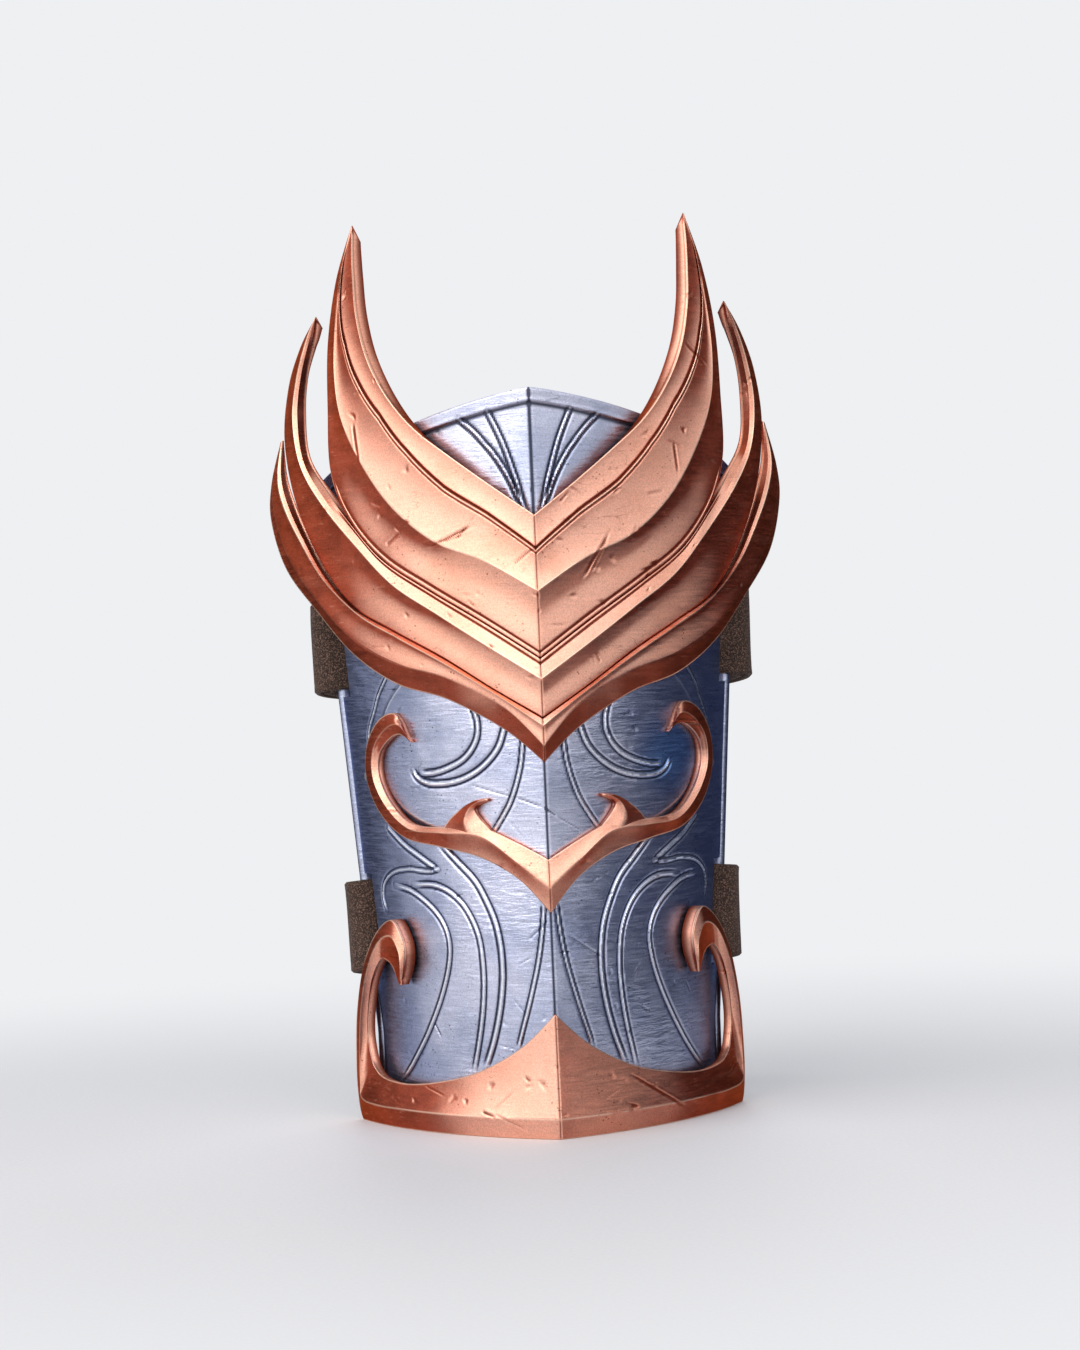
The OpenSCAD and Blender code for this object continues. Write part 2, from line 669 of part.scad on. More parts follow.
// Outer half of the closure, which rides on the strap
module snap_cap(z) {
    color(copper)
        at_snap(z)
            translate([0, 0, flange_t + socket_gap + socket_h + strap_t]) {
                translate([0, 0, 0.05])
                    cylinder(r = cap_r, h = cap_h / 2);
                translate([0, 0, 0.05 + cap_h / 2])
                    cylinder(r1 = cap_r, r2 = cap_r * 0.6, h = cap_h / 2);
                translate([0, 0, -strap_t - 0.6])
                    cylinder(r = rivet_r, h = strap_t + 1);
            }
}

module snap_socket(z) {
    color(brass)
        at_snap(z)
            translate([0, 0, flange_t + socket_gap])
                difference() {
                    cylinder(r = flange_r, h = socket_h - 0.05);
                    translate([0, 0, -1])
                        cylinder(r = stud_r + socket_clear, h = 1.2 + stud_h);
                    translate([0, 0, socket_h - 0.8])
                        cylinder(r = rivet_r + 0.05, h = 2);
                }
}

// Inner half of the closure, which rides on the tab
module snap_stud(z) {
    color(brass)
        at_snap(z)
            translate([0, 0, 0.05])
                difference() {
                    union() {
                        cylinder(r = flange_r, h = flange_t - 0.05);
                        cylinder(r = stud_r, h = stud_h - 0.1);
                    }
                    translate([0, 0, -1])
                        cylinder(r = rivet_r * 0.6 + 0.05, h = 1 + stud_h - 0.7);
                }
}

module snap_post(z) {
    color(brass)
        at_snap(z) {
            translate([0, 0, -strap_t - flange_t - 0.05])
                cylinder(r = flange_r, h = flange_t);
            translate([0, 0, -strap_t - 0.1])
                cylinder(r = rivet_r, h = strap_t + 0.1);
            cylinder(r = rivet_r * 0.6, h = stud_h - 0.8);
        }
}

// The whole piece stands with the middle of its base at the origin
module place() {
    translate([0, -mid_y, 0])
        children();
}

place() shell();
place() crest_upper();
place() crest_middle();
place() crest_lower();
place() color(zinc) screws(concat(upper_sites, middle_sites, lower_sites), crest_bite);  // crest_screws
place() color(zinc) washers(concat(upper_sites, middle_sites, lower_sites));  // crest_washers
place() scroll_trim();
place() color(zinc) screws(scroll_sites, scroll_bite);  // scroll_screws
place() color(zinc) washers(scroll_sites);  // scroll_washers
place() cuff_band();
place() color(zinc) screws(cuff_sites, cuff_bite);  // cuff_screws
place() color(zinc) washers(cuff_sites);  // cuff_washers
place() strap(upper_strap_z, upper_bulge);  // upper_strap
place() rivets(upper_strap_z, upper_bulge, strap_reach);  // upper_strap_rivets
place() snap_cap(upper_strap_z);  // upper_snap_cap
place() snap_socket(upper_strap_z);  // upper_snap_socket
place() strap(lower_strap_z, lower_bulge);  // lower_strap
place() rivets(lower_strap_z, lower_bulge, strap_reach);  // lower_strap_rivets
place() snap_cap(lower_strap_z);  // lower_snap_cap
place() snap_socket(lower_strap_z);  // lower_snap_socket
place() tab(upper_strap_z, upper_bulge);  // upper_tab
place() mirror([1, 0, 0]) rivets(upper_strap_z, upper_bulge, tab_reach);  // upper_tab_rivets
place() snap_stud(upper_strap_z);  // upper_snap_stud
place() snap_post(upper_strap_z);  // upper_snap_post
place() tab(lower_strap_z, lower_bulge);  // lower_tab
place() mirror([1, 0, 0]) rivets(lower_strap_z, lower_bulge, tab_reach);  // lower_tab_rivets
place() snap_stud(lower_strap_z);  // lower_snap_stud
place() snap_post(lower_strap_z);  // lower_snap_post
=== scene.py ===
"""Looks of the forearm guard: an engraved blued-steel plate with copper trims and leather straps."""

import math

import bpy
import numpy as np
from mathutils import Matrix, Vector

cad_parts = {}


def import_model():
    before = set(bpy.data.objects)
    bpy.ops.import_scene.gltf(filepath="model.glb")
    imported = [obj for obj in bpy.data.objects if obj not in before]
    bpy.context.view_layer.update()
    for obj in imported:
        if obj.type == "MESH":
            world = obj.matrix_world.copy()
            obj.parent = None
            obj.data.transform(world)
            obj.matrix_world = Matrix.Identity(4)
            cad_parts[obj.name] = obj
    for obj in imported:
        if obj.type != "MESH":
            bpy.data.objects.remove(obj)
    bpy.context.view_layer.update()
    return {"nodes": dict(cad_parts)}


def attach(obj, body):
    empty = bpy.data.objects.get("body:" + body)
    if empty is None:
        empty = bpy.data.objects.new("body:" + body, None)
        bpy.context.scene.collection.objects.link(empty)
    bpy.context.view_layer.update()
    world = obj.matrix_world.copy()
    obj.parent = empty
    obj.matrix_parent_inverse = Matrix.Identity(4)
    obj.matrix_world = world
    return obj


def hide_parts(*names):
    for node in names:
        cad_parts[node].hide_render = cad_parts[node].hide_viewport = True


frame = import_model()

# Sizes in millimetres, those of the part's source, but for the feathers' seams, which are thicker and
# closer here. The plate's ridge lies at y = 0, and MID_Y brings a point into the row frame.
MID_Y = 46.0095
KEEL, FLANK = math.radians(27), math.radians(72)
KS, KC = math.sin(KEEL), math.cos(KEEL)
PLATE_H, WRIST_W, ELBOW_W, FLARE_Z, PLATE_LIFT = 202, 48, 62, 25, 1
SHEET_T, ROLL_R, ELBOW_DROP = 1.8, 1.9, 21
BORDER_W, BORDER_PROUD = 3.3, 0.7
CREST_R, CREST_T, SEAM_T, SEAM_GAP = 163, 5, 3.85, 0.14
SCROLL_T, SCROLL_EDGE, SCROLL_Z = 3.6, 2.2, 112.0
CUFF_T, CUFF_EDGE, CUFF_BEVEL_Z, CUFF_SPREAD = 4.8, 2.6, 5.5, 9.4
FIT_GAP, BOSS_R = 0.2, 3
CREST_BITE, CUFF_BITE = 0.6 * CREST_T, CUFF_T / 2
STRAP_W, STRAP_T, LOOP_CLEAR, SLOT_ROOM, SLOT_CLEAR = 26, 1.8, 0.08, 4, 2
LOOP_MID = ROLL_R + LOOP_CLEAR + STRAP_T / 2
SLOT_DEPTH, SLOT_HALF = ROLL_R + LOOP_CLEAR + STRAP_T + SLOT_ROOM, STRAP_W / 2 + SLOT_CLEAR
UPPER_Z, LOWER_Z, UPPER_BULGE, LOWER_BULGE = 135.5, 55, 7, 6.2
TAB_REACH, SNAP_X, TIP_PAST_SNAP, DROOP = 22, 27, 12.5, math.radians(9)
FLANGE_T, SOCKET_GAP, SOCKET_H = 0.8, 0.2, 2.6
STRAP_REACH = TAB_REACH + STRAP_T + FLANGE_T + SOCKET_GAP + SOCKET_H


def half_w(z):
    """Half the width of the plate at a height."""
    return WRIST_W + (ELBOW_W - WRIST_W) * np.maximum(0, z - FLARE_Z) / (PLATE_H - FLARE_Z)


def wall_r(z):
    """Radius of each half of the plate at a height, seen from above."""
    return half_w(z) / (math.sin(FLANK) - KS)


SCROLL_R = float(wall_r(SCROLL_Z))
CUFF_R = float(wall_r(FLARE_Z)) + CUFF_SPREAD


def lift_y(r, x, h):
    """Depth of a keeled surface of radius r, lifted by h, at x beside the ridge."""
    return r * KC - np.sqrt((r + h) ** 2 - (x + r * KS) ** 2)


def elbow_z(q):
    """Height of the elbow edge at a share q of the way from the ridge to the rim."""
    return PLATE_H - ELBOW_DROP * q**1.25


def plate_point(side, q, z, h):
    """Point h above the plate's outer face, at a share q of the way to a side's rim."""
    r = wall_r(z)
    low = np.arcsin(r * KS / (r + h))
    a = low + (FLANK - low) * q
    x = side * ((r + h) * np.sin(a) - r * KS)
    return np.stack(np.broadcast_arrays(x, r * KC - (r + h) * np.cos(a), z), -1)


def rim_at(z):
    """Middle of the right rolled rim at a height."""
    return plate_point(1, 1.0, np.float64(z), -SHEET_T / 2)


def plate_y(x, z):
    return lift_y(wall_r(z), x, 0)


def plate_out(side, x, z):
    """Way out of the plate at a place."""
    slope_x = (plate_y(x + 0.1, z) - plate_y(x - 0.1, z)) / 0.2
    slope_z = (plate_y(x, z + 0.1) - plate_y(x, z - 0.1)) / 0.2
    out = np.array([side * slope_x, -1, slope_z], float)
    return out / np.linalg.norm(out)


def smooth(x, a, b):
    """0 before a, 1 after b, smooth between."""
    t = np.clip((x - a) / (b - a), 0, 1)
    return t * t * (3 - 2 * t)


def hump(d, width):
    """Bell of height 1 round d = 0."""
    return np.exp(-((d / width) ** 2))


def circle(count):
    """Angles of the corners of a regular polygon."""
    return np.linspace(0, 2 * math.pi, count, endpoint=False)


def col(a, k):
    """Column k of a, still as a column."""
    return a[:, k : k + 1]


def mirrored(a):
    """Rows of the right half after their mirror image, with one row on the ridge."""
    return np.concatenate([a[:0:-1], a])


def through(points, s):
    """Smooth curve through points (n, ...), at places s counted in points."""
    p = np.asarray(points, float)
    n = len(p) - 1
    s = np.asarray(s, float)
    i = np.minimum(np.floor(s).astype(int), n - 1)
    t = (s - i).reshape(s.shape + (1,) * (p.ndim - 1))
    a, b, c, d = p[np.maximum(i - 1, 0)], p[i], p[i + 1], p[np.minimum(i + 2, n)]
    bend = (2 * a - 5 * b + 4 * c - d) * t * t + (3 * b - a - 3 * c + d) * t**3
    return 0.5 * (2 * b + (c - a) * t + bend)


def run_length(points):
    """How far along a line each of its points lies."""
    return np.concatenate([[0], np.cumsum(np.linalg.norm(np.diff(points, axis=0), axis=1))])


# Meshes
def linked(name, data):
    """New object in the scene."""
    obj = bpy.data.objects.new(name, data)
    bpy.context.scene.collection.objects.link(obj)
    return obj


def turned_away(n, at):
    """How much painted shade a piece's places at, in metres, carry, from their normals n.

    What turns from the front to the sides and down is painted darker, a little more so on the right."""
    z, beside = at[:, 2], abs(at[:, 0])
    around = np.degrees(np.arctan2(abs(n[:, 0]), -n[:, 1]))
    down = np.degrees(np.arcsin(np.clip(-n[:, 2], -1, 1)))
    upright = smooth(np.hypot(n[:, 0], n[:, 1]), 0.3, 0.7)
    low = 0.85 * smooth(down, 2, 24) * smooth(abs(n[:, 0]), 0.32, 0.56)
    low = low * smooth(z, 0.03, 0.09) * smooth(beside, 0.014, 0.042)
    on_scroll = smooth(z, 0.05, 0.06) * (1 - smooth(z, 0.112, 0.122))
    low = np.maximum(low, 0.3 * smooth(down, 3, 14) * on_scroll)
    right = 0.42 * smooth(n[:, 0], 0.18, 0.42) * np.maximum(smooth(down, -1, 6), 1 - smooth(z, 0.03, 0.06))
    away = upright * np.maximum(0.9 * smooth(around, 33, 60) + low, right)
    away = away + 0.12 * (1 - upright) * smooth(down, 30, 60)
    return np.clip(away, 0, 1) * (1 - 0.5 * smooth(around, 95, 140) * upright)


def grid_faces(rows, cols, closed=False):
    """Quads of a grid of vertices (rows, cols), its columns closed into a ring or not."""
    i, j = np.meshgrid(np.arange(rows - 1), np.arange(cols if closed else cols - 1), indexing="ij")
    k = (j + 1) % cols
    return np.stack([i * cols + j, i * cols + k, (i + 1) * cols + k, (i + 1) * cols + j], -1).reshape(-1, 4)


class Part:
    """Vertices, faces and one value a vertex of a piece: how deep in a groove it lies, raised where shade is
    painted and below 0 where a highlight is painted.
    """

    def __init__(self):
        self.verts, self.loops, self.sizes, self.cavity, self.count = [], [], [], [], 0

    def add(self, verts, faces, cavity):
        """faces is a list of integer arrays, each of one polygon size."""
        for f in faces:
            self.loops.append((f + self.count).ravel())
            self.sizes.append(np.full(len(f), f.shape[1]))
        self.cavity.append(cavity)
        self.verts.append(verts)
        self.count += len(verts)

    def add_rings(self, rings, cavity=0.0, ends=None, flip=False):
        """Closed rings (rows, cols, 3) with a fan at each end, round the ends or the rings' middles.

        cavity is one number or a value a vertex of the rings."""
        rows, cols = rings.shape[:2]
        ends = rings[[0, -1]].mean(1) if ends is None else ends
        j = np.arange(cols)
        k = (j + 1) % cols
        last, middle = (rows - 1) * cols, rows * cols
        faces = [
            grid_faces(rows, cols, closed=True)[:, ::-1],
            np.stack([j, k, np.full(cols, middle)], -1),
            np.stack([last + k, last + j, np.full(cols, middle + 1)], -1),
        ]
        if flip:
            faces = [f[:, ::-1] for f in faces]
        values = np.append(cavity, [0, 0]) if np.ndim(cavity) else np.full(rows * cols + 2, cavity)
        self.add(np.vstack([rings.reshape(-1, 3), ends]), faces, values)

    def build(self, name, body, material, slot, node, sharp=32):
        """Makes the piece, which rides a body and takes the place of a CAD node."""
        used, loops = np.unique(np.concatenate(self.loops), return_inverse=True)
        sizes = np.concatenate(self.sizes)
        verts = ((np.vstack(self.verts) - [0, MID_Y, 0]) / 1000)[used]
        mesh = bpy.data.meshes.new(name)
        mesh.vertices.add(len(verts))
        mesh.vertices.foreach_set("co", verts.astype(np.float32).ravel())
        mesh.loops.add(len(loops))
        mesh.loops.foreach_set("vertex_index", loops.astype(np.int32))
        mesh.polygons.add(len(sizes))
        starts = np.concatenate([[0], np.cumsum(sizes)[:-1]])
        mesh.polygons.foreach_set("loop_start", starts.astype(np.int32))
        mesh.update(calc_edges=True)
        mesh.validate()
        mesh.shade_smooth()
        mesh.set_sharp_from_angle(angle=math.radians(sharp))
        normals = np.zeros(3 * len(verts), np.float32)
        mesh.vertices.foreach_get("normal", normals)
        turned = turned_away(normals.reshape(-1, 3), verts)
        for key, values in (("turned", turned), ("cavity", np.concatenate(self.cavity)[used])):
            layer = mesh.attributes.new(key, "FLOAT", "POINT")
            layer.data.foreach_set("value", values.astype(np.float32))
        mesh.materials.append(material)
        obj = linked(name, mesh)
        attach(obj, body)
        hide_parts(node)


# Wear: pits are (x, z, radius, depth), and scratches are (x0, z0, x1, z1, width, depth).
def marks(seed, box, pits, scratches, own_pits=(), own_scratches=()):
    """Random marks in a box (x0, x1, z0, z1), with a fixed seed, and a piece's own ones from the photo."""
    draw = np.random.default_rng(seed).uniform
    x0, x1, z0, z1 = box
    p = [(draw(x0, x1), draw(z0, z1), draw(0.35, 0.95), draw(0.08, 0.26)) for _ in range(pits)]
    s = []
    for _ in range(scratches):
        x, z, a, length = draw(x0, x1), draw(z0, z1), draw(-0.9, 0.9), draw(3, 11)
        end = (x + length * math.cos(a), z + length * math.sin(a))
        s.append((x, z, *end, draw(0.2, 0.34), draw(0.07, 0.17)))
    return p + list(own_pits), s + list(own_scratches)


PLATE_MARKS = [
    [
        (-3.3, 32.2, 0.6, 0.2), (19, 43, 0.7, 0.22), (20.4, 33.6, 0.8, 0.2), (31.4, 108.8, 0.7, 0.24),
        (28.6, 104, 0.9, 0.2), (36.5, 47, 0.7, 0.2),
    ],
    [
        (-24, 95.5, -8.6, 91.5, 0.24, 0.16), (-8.8, 91.7, -0.7, 88.9, 0.26, 0.2),
        (-0.9, 89.1, 3.5, 86.1, 0.3, 0.22), (3.3, 86.3, 12, 81.3, 0.26, 0.18),
        (-31.8, 64.7, -27.2, 65.9, 0.24, 0.16), (-10.5, 46.6, -5.8, 48.8, 0.22, 0.14),
        (-42.8, 29.7, -39.6, 25.5, 0.34, 0.24), (4.8, 54.3, 17.5, 46.4, 0.28, 0.2),
        (1.7, 49.7, 7, 49.4, 0.24, 0.16), (-18.2, 24.6, -11.7, 23.3, 0.24, 0.14),
        (30.4, 44.6, 27, 40.5, 0.26, 0.14), (13.8, 68.1, 17.7, 69.6, 0.24, 0.14),
        (17.6, 98.6, 22.4, 97, 0.24, 0.16), (30, 32.5, 33.5, 31, 0.3, 0.14),
    ],
]
UPPER_MARKS = [
    [
        (-42, 173.5, 0.8, 0.24), (-41.6, 170.4, 0.6, 0.2), (-34.4, 168, 0.55, 0.22), (-37, 166.2, 0.5, 0.18),
        (21, 155.4, 0.75, 0.26), (33.2, 153.7, 0.8, 0.26), (9.7, 145.4, 0.6, 0.2), (31, 150.5, 0.6, 0.2),
        (-44.6, 160, 0.5, 0.2), (-46.5, 163.4, 0.6, 0.22),
    ],
    [
        (-29, 160.3, -15.5, 166, 0.30, 0.24), (-24.6, 161.6, -18.5, 163.4, 0.24, 0.16),
        (-6.2, 154.3, 0, 158.9, 0.28, 0.20), (-48.3, 196.5, -47, 183.5, 0.30, 0.20),
        (-40.3, 162.1, -36.6, 165.1, 0.34, 0.2), (12.7, 150.1, 21.2, 163.5, 0.32, 0.26),
        (15, 151.5, 20.3, 161.2, 0.26, 0.18), (40.3, 187.2, 41.2, 177.8, 0.30, 0.2),
        (38.3, 187.7, 43, 186.1, 0.24, 0.14), (31.6, 172.6, 37.2, 173.8, 0.5, 0.10),
    ],
]
MIDDLE_MARKS = [
    [(-3, 124.2, 0.7, 0.28), (-10.8, 120, 0.45, 0.16), (-52.8, 163.4, 0.6, 0.22), (-49.5, 158.6, 0.5, 0.2)],
    [
        (-58.7, 170.2, -57, 174.4, 0.3, 0.2), (-13.6, 133.3, -12.2, 132.1, 0.4, 0.2),
        (15.4, 130, 16.6, 126.8, 0.3, 0.2), (13.9, 129.4, 15.2, 126.4, 0.26, 0.14),
    ],
]
CUFF_MARKS = [
    [
        (-4.1, 14.8, 0.9, 0.26), (-25, 9.4, 0.6, 0.24), (14.8, 15.2, 1.0, 0.26), (18, 13.7, 1.1, 0.22),
        (20.6, 6.2, 1.0, 0.24), (15.8, 5.4, 0.9, 0.22), (1.3, 6.9, 0.6, 0.3), (-8, 14, 0.7, 0.18),
        (27, 11, 0.7, 0.2), (-39, 8, 0.8, 0.2),
    ],
    [
        (19.8, 15.3, 36.6, 3.3, 0.30, 0.24), (-17.7, 7.3, -11, 13.2, 0.22, 0.12),
        (-20.7, 6.9, -17, 5.4, 0.36, 0.22), (-8.7, 16.6, -7.2, 15.2, 0.4, 0.2),
        (12.4, 9.6, 17.8, 12.2, 0.3, 0.14), (18.6, 7.6, 22.4, 6, 0.4, 0.18),
        (-36, 12.5, -30.5, 10.2, 0.26, 0.14),
    ],
]


def segment_distance(x, z, x0, z0, x1, z1):
    """Distance to a segment, and where along its line the place is."""
    dx, dz = x1 - x0, z1 - z0
    t = ((x - x0) * dx + (z - z0) * dz) / (dx * dx + dz * dz)
    c = np.clip(t, 0, 1)
    return np.hypot(x - x0 - c * dx, z - z0 - c * dz), t


def worn(x, z, pits, scratches):
    """Height and groove value that pits and scratches give at places (x, z)."""
    h, g = np.zeros_like(x), np.zeros_like(x)
    for cx, cz, rad, depth in pits:
        near = (abs(x - cx) < 3 * rad) & (abs(z - cz) < 3 * rad)
        a = np.arctan2(z[near] - cz, x[near] - cx)
        ragged = 1 + 0.28 * np.sin(2 * a + 9 * cx) + 0.2 * np.sin(3 * a + 7 * cz)
        ragged += 0.12 * np.sin(5 * a + 5 * cx)
        d = np.hypot(x[near] - cx, (z[near] - cz) * 1.25) * ragged
        h[near] -= depth * hump(d, 0.85 * rad) - 0.14 * depth * hump(d - 1.5 * rad, 0.5 * rad)
        g[near] += 1.6 * depth * hump(d, rad)
    for x0, z0, x1, z1, w, depth in scratches:
        near = (x > min(x0, x1) - 2) & (x < max(x0, x1) + 2) & (z > min(z0, z1) - 2) & (z < max(z0, z1) + 2)
        d, t = segment_distance(x[near], z[near], x0, z0, x1, z1)
        fade = smooth(t, -0.02, 0.15) * smooth(1 - t, -0.02, 0.3)
        h[near] -= fade * (depth * hump(d, w) - 0.3 * depth * hump(d - 1.9 * w, w))
        g[near] += fade * 3.4 * depth * hump(d, w)
    return h, g


def uneven(x, z, amount, phase):
    """Slow unevenness of hand-worked metal."""
    wide = np.sin(x / 7.3 + phase) * np.cos(z / 9.1 - phase)
    fine = 0.6 * np.sin(x / 3.9 - z / 5.3 + 2 * phase) + 0.35 * np.cos(x / 2.3 + z / 2.9 + 3 * phase)
    return amount * (wide + fine)


# Materials
class Shade:
    """Short hand for the node tree of a material or the world, which starts with one shader."""

    def __init__(self, owner, shader, out):
        owner.use_nodes = True
        self.owner, self.tree = owner, owner.node_tree
        self.tree.nodes.clear()
        self.shader = self.node(shader)
        self.out = self.node(out, self.shader.outputs[0])
        self.place = self.node("ShaderNodeTexCoord").outputs["Object"]

    def put(self, socket, value):
        """Links a socket, or sets a constant directly on it."""
        if isinstance(value, bpy.types.NodeSocket):
            self.tree.links.new(value, socket)
        else:
            socket.default_value = value + (1.0,) if socket.type == "RGBA" else value

    def node(self, kind, *values, inputs=None, **props):
        """New node: values fill its first inputs in order, and inputs fills some by name."""
        made = self.tree.nodes.new(kind)
        for key, value in props.items():
            setattr(made, key, value)
        for key, value in [*enumerate(values), *(inputs or {}).items()]:
            self.put(made.inputs[key], value)
        return made

    def at(self, scale=(1, 1, 1), turn=(0, 0, 0), shift=(0, 0, 0)):
        values = {"Vector": self.place, "Scale": scale, "Rotation": turn, "Location": shift}
        return self.node("ShaderNodeMapping", inputs=values).outputs[0]

    def noise(self, vector, scale, detail, rough=0.5, distortion=0.0):
        values = {"Vector": vector, "Scale": scale, "Detail": detail, "Roughness": rough}
        made = self.node("ShaderNodeTexNoise", inputs=values)
        self.put(made.inputs["Distortion"], distortion)
        return made.outputs[0]

    def cells(self, vector, scale):
        made = self.node("ShaderNodeTexVoronoi", inputs={"Vector": vector, "Scale": scale})
        return made.outputs["Distance"]

    def attribute(self, name):
        return self.node("ShaderNodeAttribute", attribute_name=name).outputs["Fac"]

    def calc(self, operation, *values, clamp=False):
        return self.node("ShaderNodeMath", *values, operation=operation, use_clamp=clamp).outputs[0]

    def times(self, a, b):
        return self.calc("MULTIPLY", a, b)

    def plus(self, a, b):
        return self.calc("ADD", a, b)

    def minus(self, a, b):
        return self.calc("SUBTRACT", a, b)

    def larger(self, a, b):
        return self.calc("MAXIMUM", a, b)

    def span(self, value, low, high, to_low=0.0, to_high=1.0):
        """Smooth step from to_low at low to to_high at high."""
        values = (value, low, high, to_low, to_high)
        return self.node("ShaderNodeMapRange", *values, interpolation_type="SMOOTHSTEP").outputs[0]

    def mix(self, fac, a, b, kind="MIX"):
        made = self.node("ShaderNodeMix", data_type="RGBA", blend_type=kind)
        for i, value in ((0, fac), (6, a), (7, b)):
            self.put(made.inputs[i], value)
        return made.outputs[2]

    def split(self):
        return self.node("ShaderNodeSeparateXYZ", self.place).outputs

    def bump(self, height, strength, distance, normal=None):
        values = {"Strength": strength, "Distance": distance, "Height": height}
        if normal:
            values["Normal"] = normal
        return self.node("ShaderNodeBump", inputs=values).outputs[0]

    def set(self, **sockets):
        names = {
            "color": "Base Color", "metal": "Metallic", "rough": "Roughness", "normal": "Normal",
            "aniso": "Anisotropic", "sheen": "Sheen Weight", "sheen_rough": "Sheen Roughness",
            "specular": "Specular IOR Level", "edge_tint": "Specular Tint",
        }
        for key, value in sockets.items():
            self.put(self.shader.inputs[names[key]], value)

    def seen(self):
        """1 for rays of the camera, of gloss and of glass, and 0 for those that light the object."""
        rays = self.node("ShaderNodeLightPath").outputs
        opaque = self.larger(rays["Is Camera Ray"], rays["Is Glossy Ray"])
        return self.larger(opaque, rays["Is Transmission Ray"])

    def blend(self, fac, kind, color):
        """Blends the shader with a glow of a colour, by fac."""
        glow = self.node(kind, color, 1.0)
        both = self.node("ShaderNodeMixShader", fac, self.shader.outputs[0], glow.outputs[0])
        self.put(self.out.inputs[0], both.outputs[0])


def new_material(name):
    return Shade(bpy.data.materials.new(name), "ShaderNodeBsdfPrincipled", "ShaderNodeOutputMaterial")


def scratch_mask(s, scale, turn, width, density):
    """Thin straight scratches in one direction, as a mask."""
    lines = s.noise(s.at(scale, turn), 1.0, 1.0, 0.4, 0.15)
    thin = s.span(s.calc("ABSOLUTE", s.minus(lines, 0.5)), 0.0, width, 1.0, 0.0)
    return s.times(thin, s.span(s.noise(s.place, density, 2.0), 0.56, 0.66))


def blued(s, base, cloud, seed):
    """Heat colours of the plate: violet clouds and one blue spot, and painted shade that darkens its flanks.
    """
    wander = s.times(s.minus(cloud, 0.5), 0.018)
    x, _, z = s.split()
    heat = s.span(s.noise(s.at(shift=(0, 0, seed)), 27.0, 2.0), 0.50, 0.68, 0.0, 0.28)
    # painted shade: the flanks get darker away from the ridge
    flank_shade = s.span(s.plus(s.calc("ABSOLUTE", x), wander), 0.023, 0.048)
    spot_x, spot_z, spot_in, spot_out = 0.037, 0.101, 0.003, 0.015
    off = [s.calc("POWER", s.minus(value, middle), 2.0) for value, middle in ((x, spot_x), (z, spot_z))]
    off = s.plus(s.calc("SQRT", s.plus(*off)), s.times(wander, 0.4))
    base = s.mix(heat, base, (0.22, 0.28, 0.52))
    base = s.mix(flank_shade, base, (0.270, 0.300, 0.440))
    return s.mix(s.span(off, spot_out, spot_in, 0.0, 0.8), base, (0.17, 0.36, 0.74))


def mottled_painted_shade(s, base, cloud, seed):
    """Mottled red-brown painted shade on the copper where it turns away from the front."""
    turned = s.minus(s.attribute("turned"), s.times(s.minus(cloud, 0.5), 0.7))
    mottle = s.span(s.noise(s.at((1, 1, 2.2), shift=(seed, 0, seed)), 75.0, 5.0, 0.68), 0.40, 0.62)
    brown = s.mix(mottle, (0.36, 0.064, 0.034), (0.25, 0.042, 0.023))
    return s.mix(s.span(turned, 0.0, 0.75, 0.0, 0.94), base, brown)


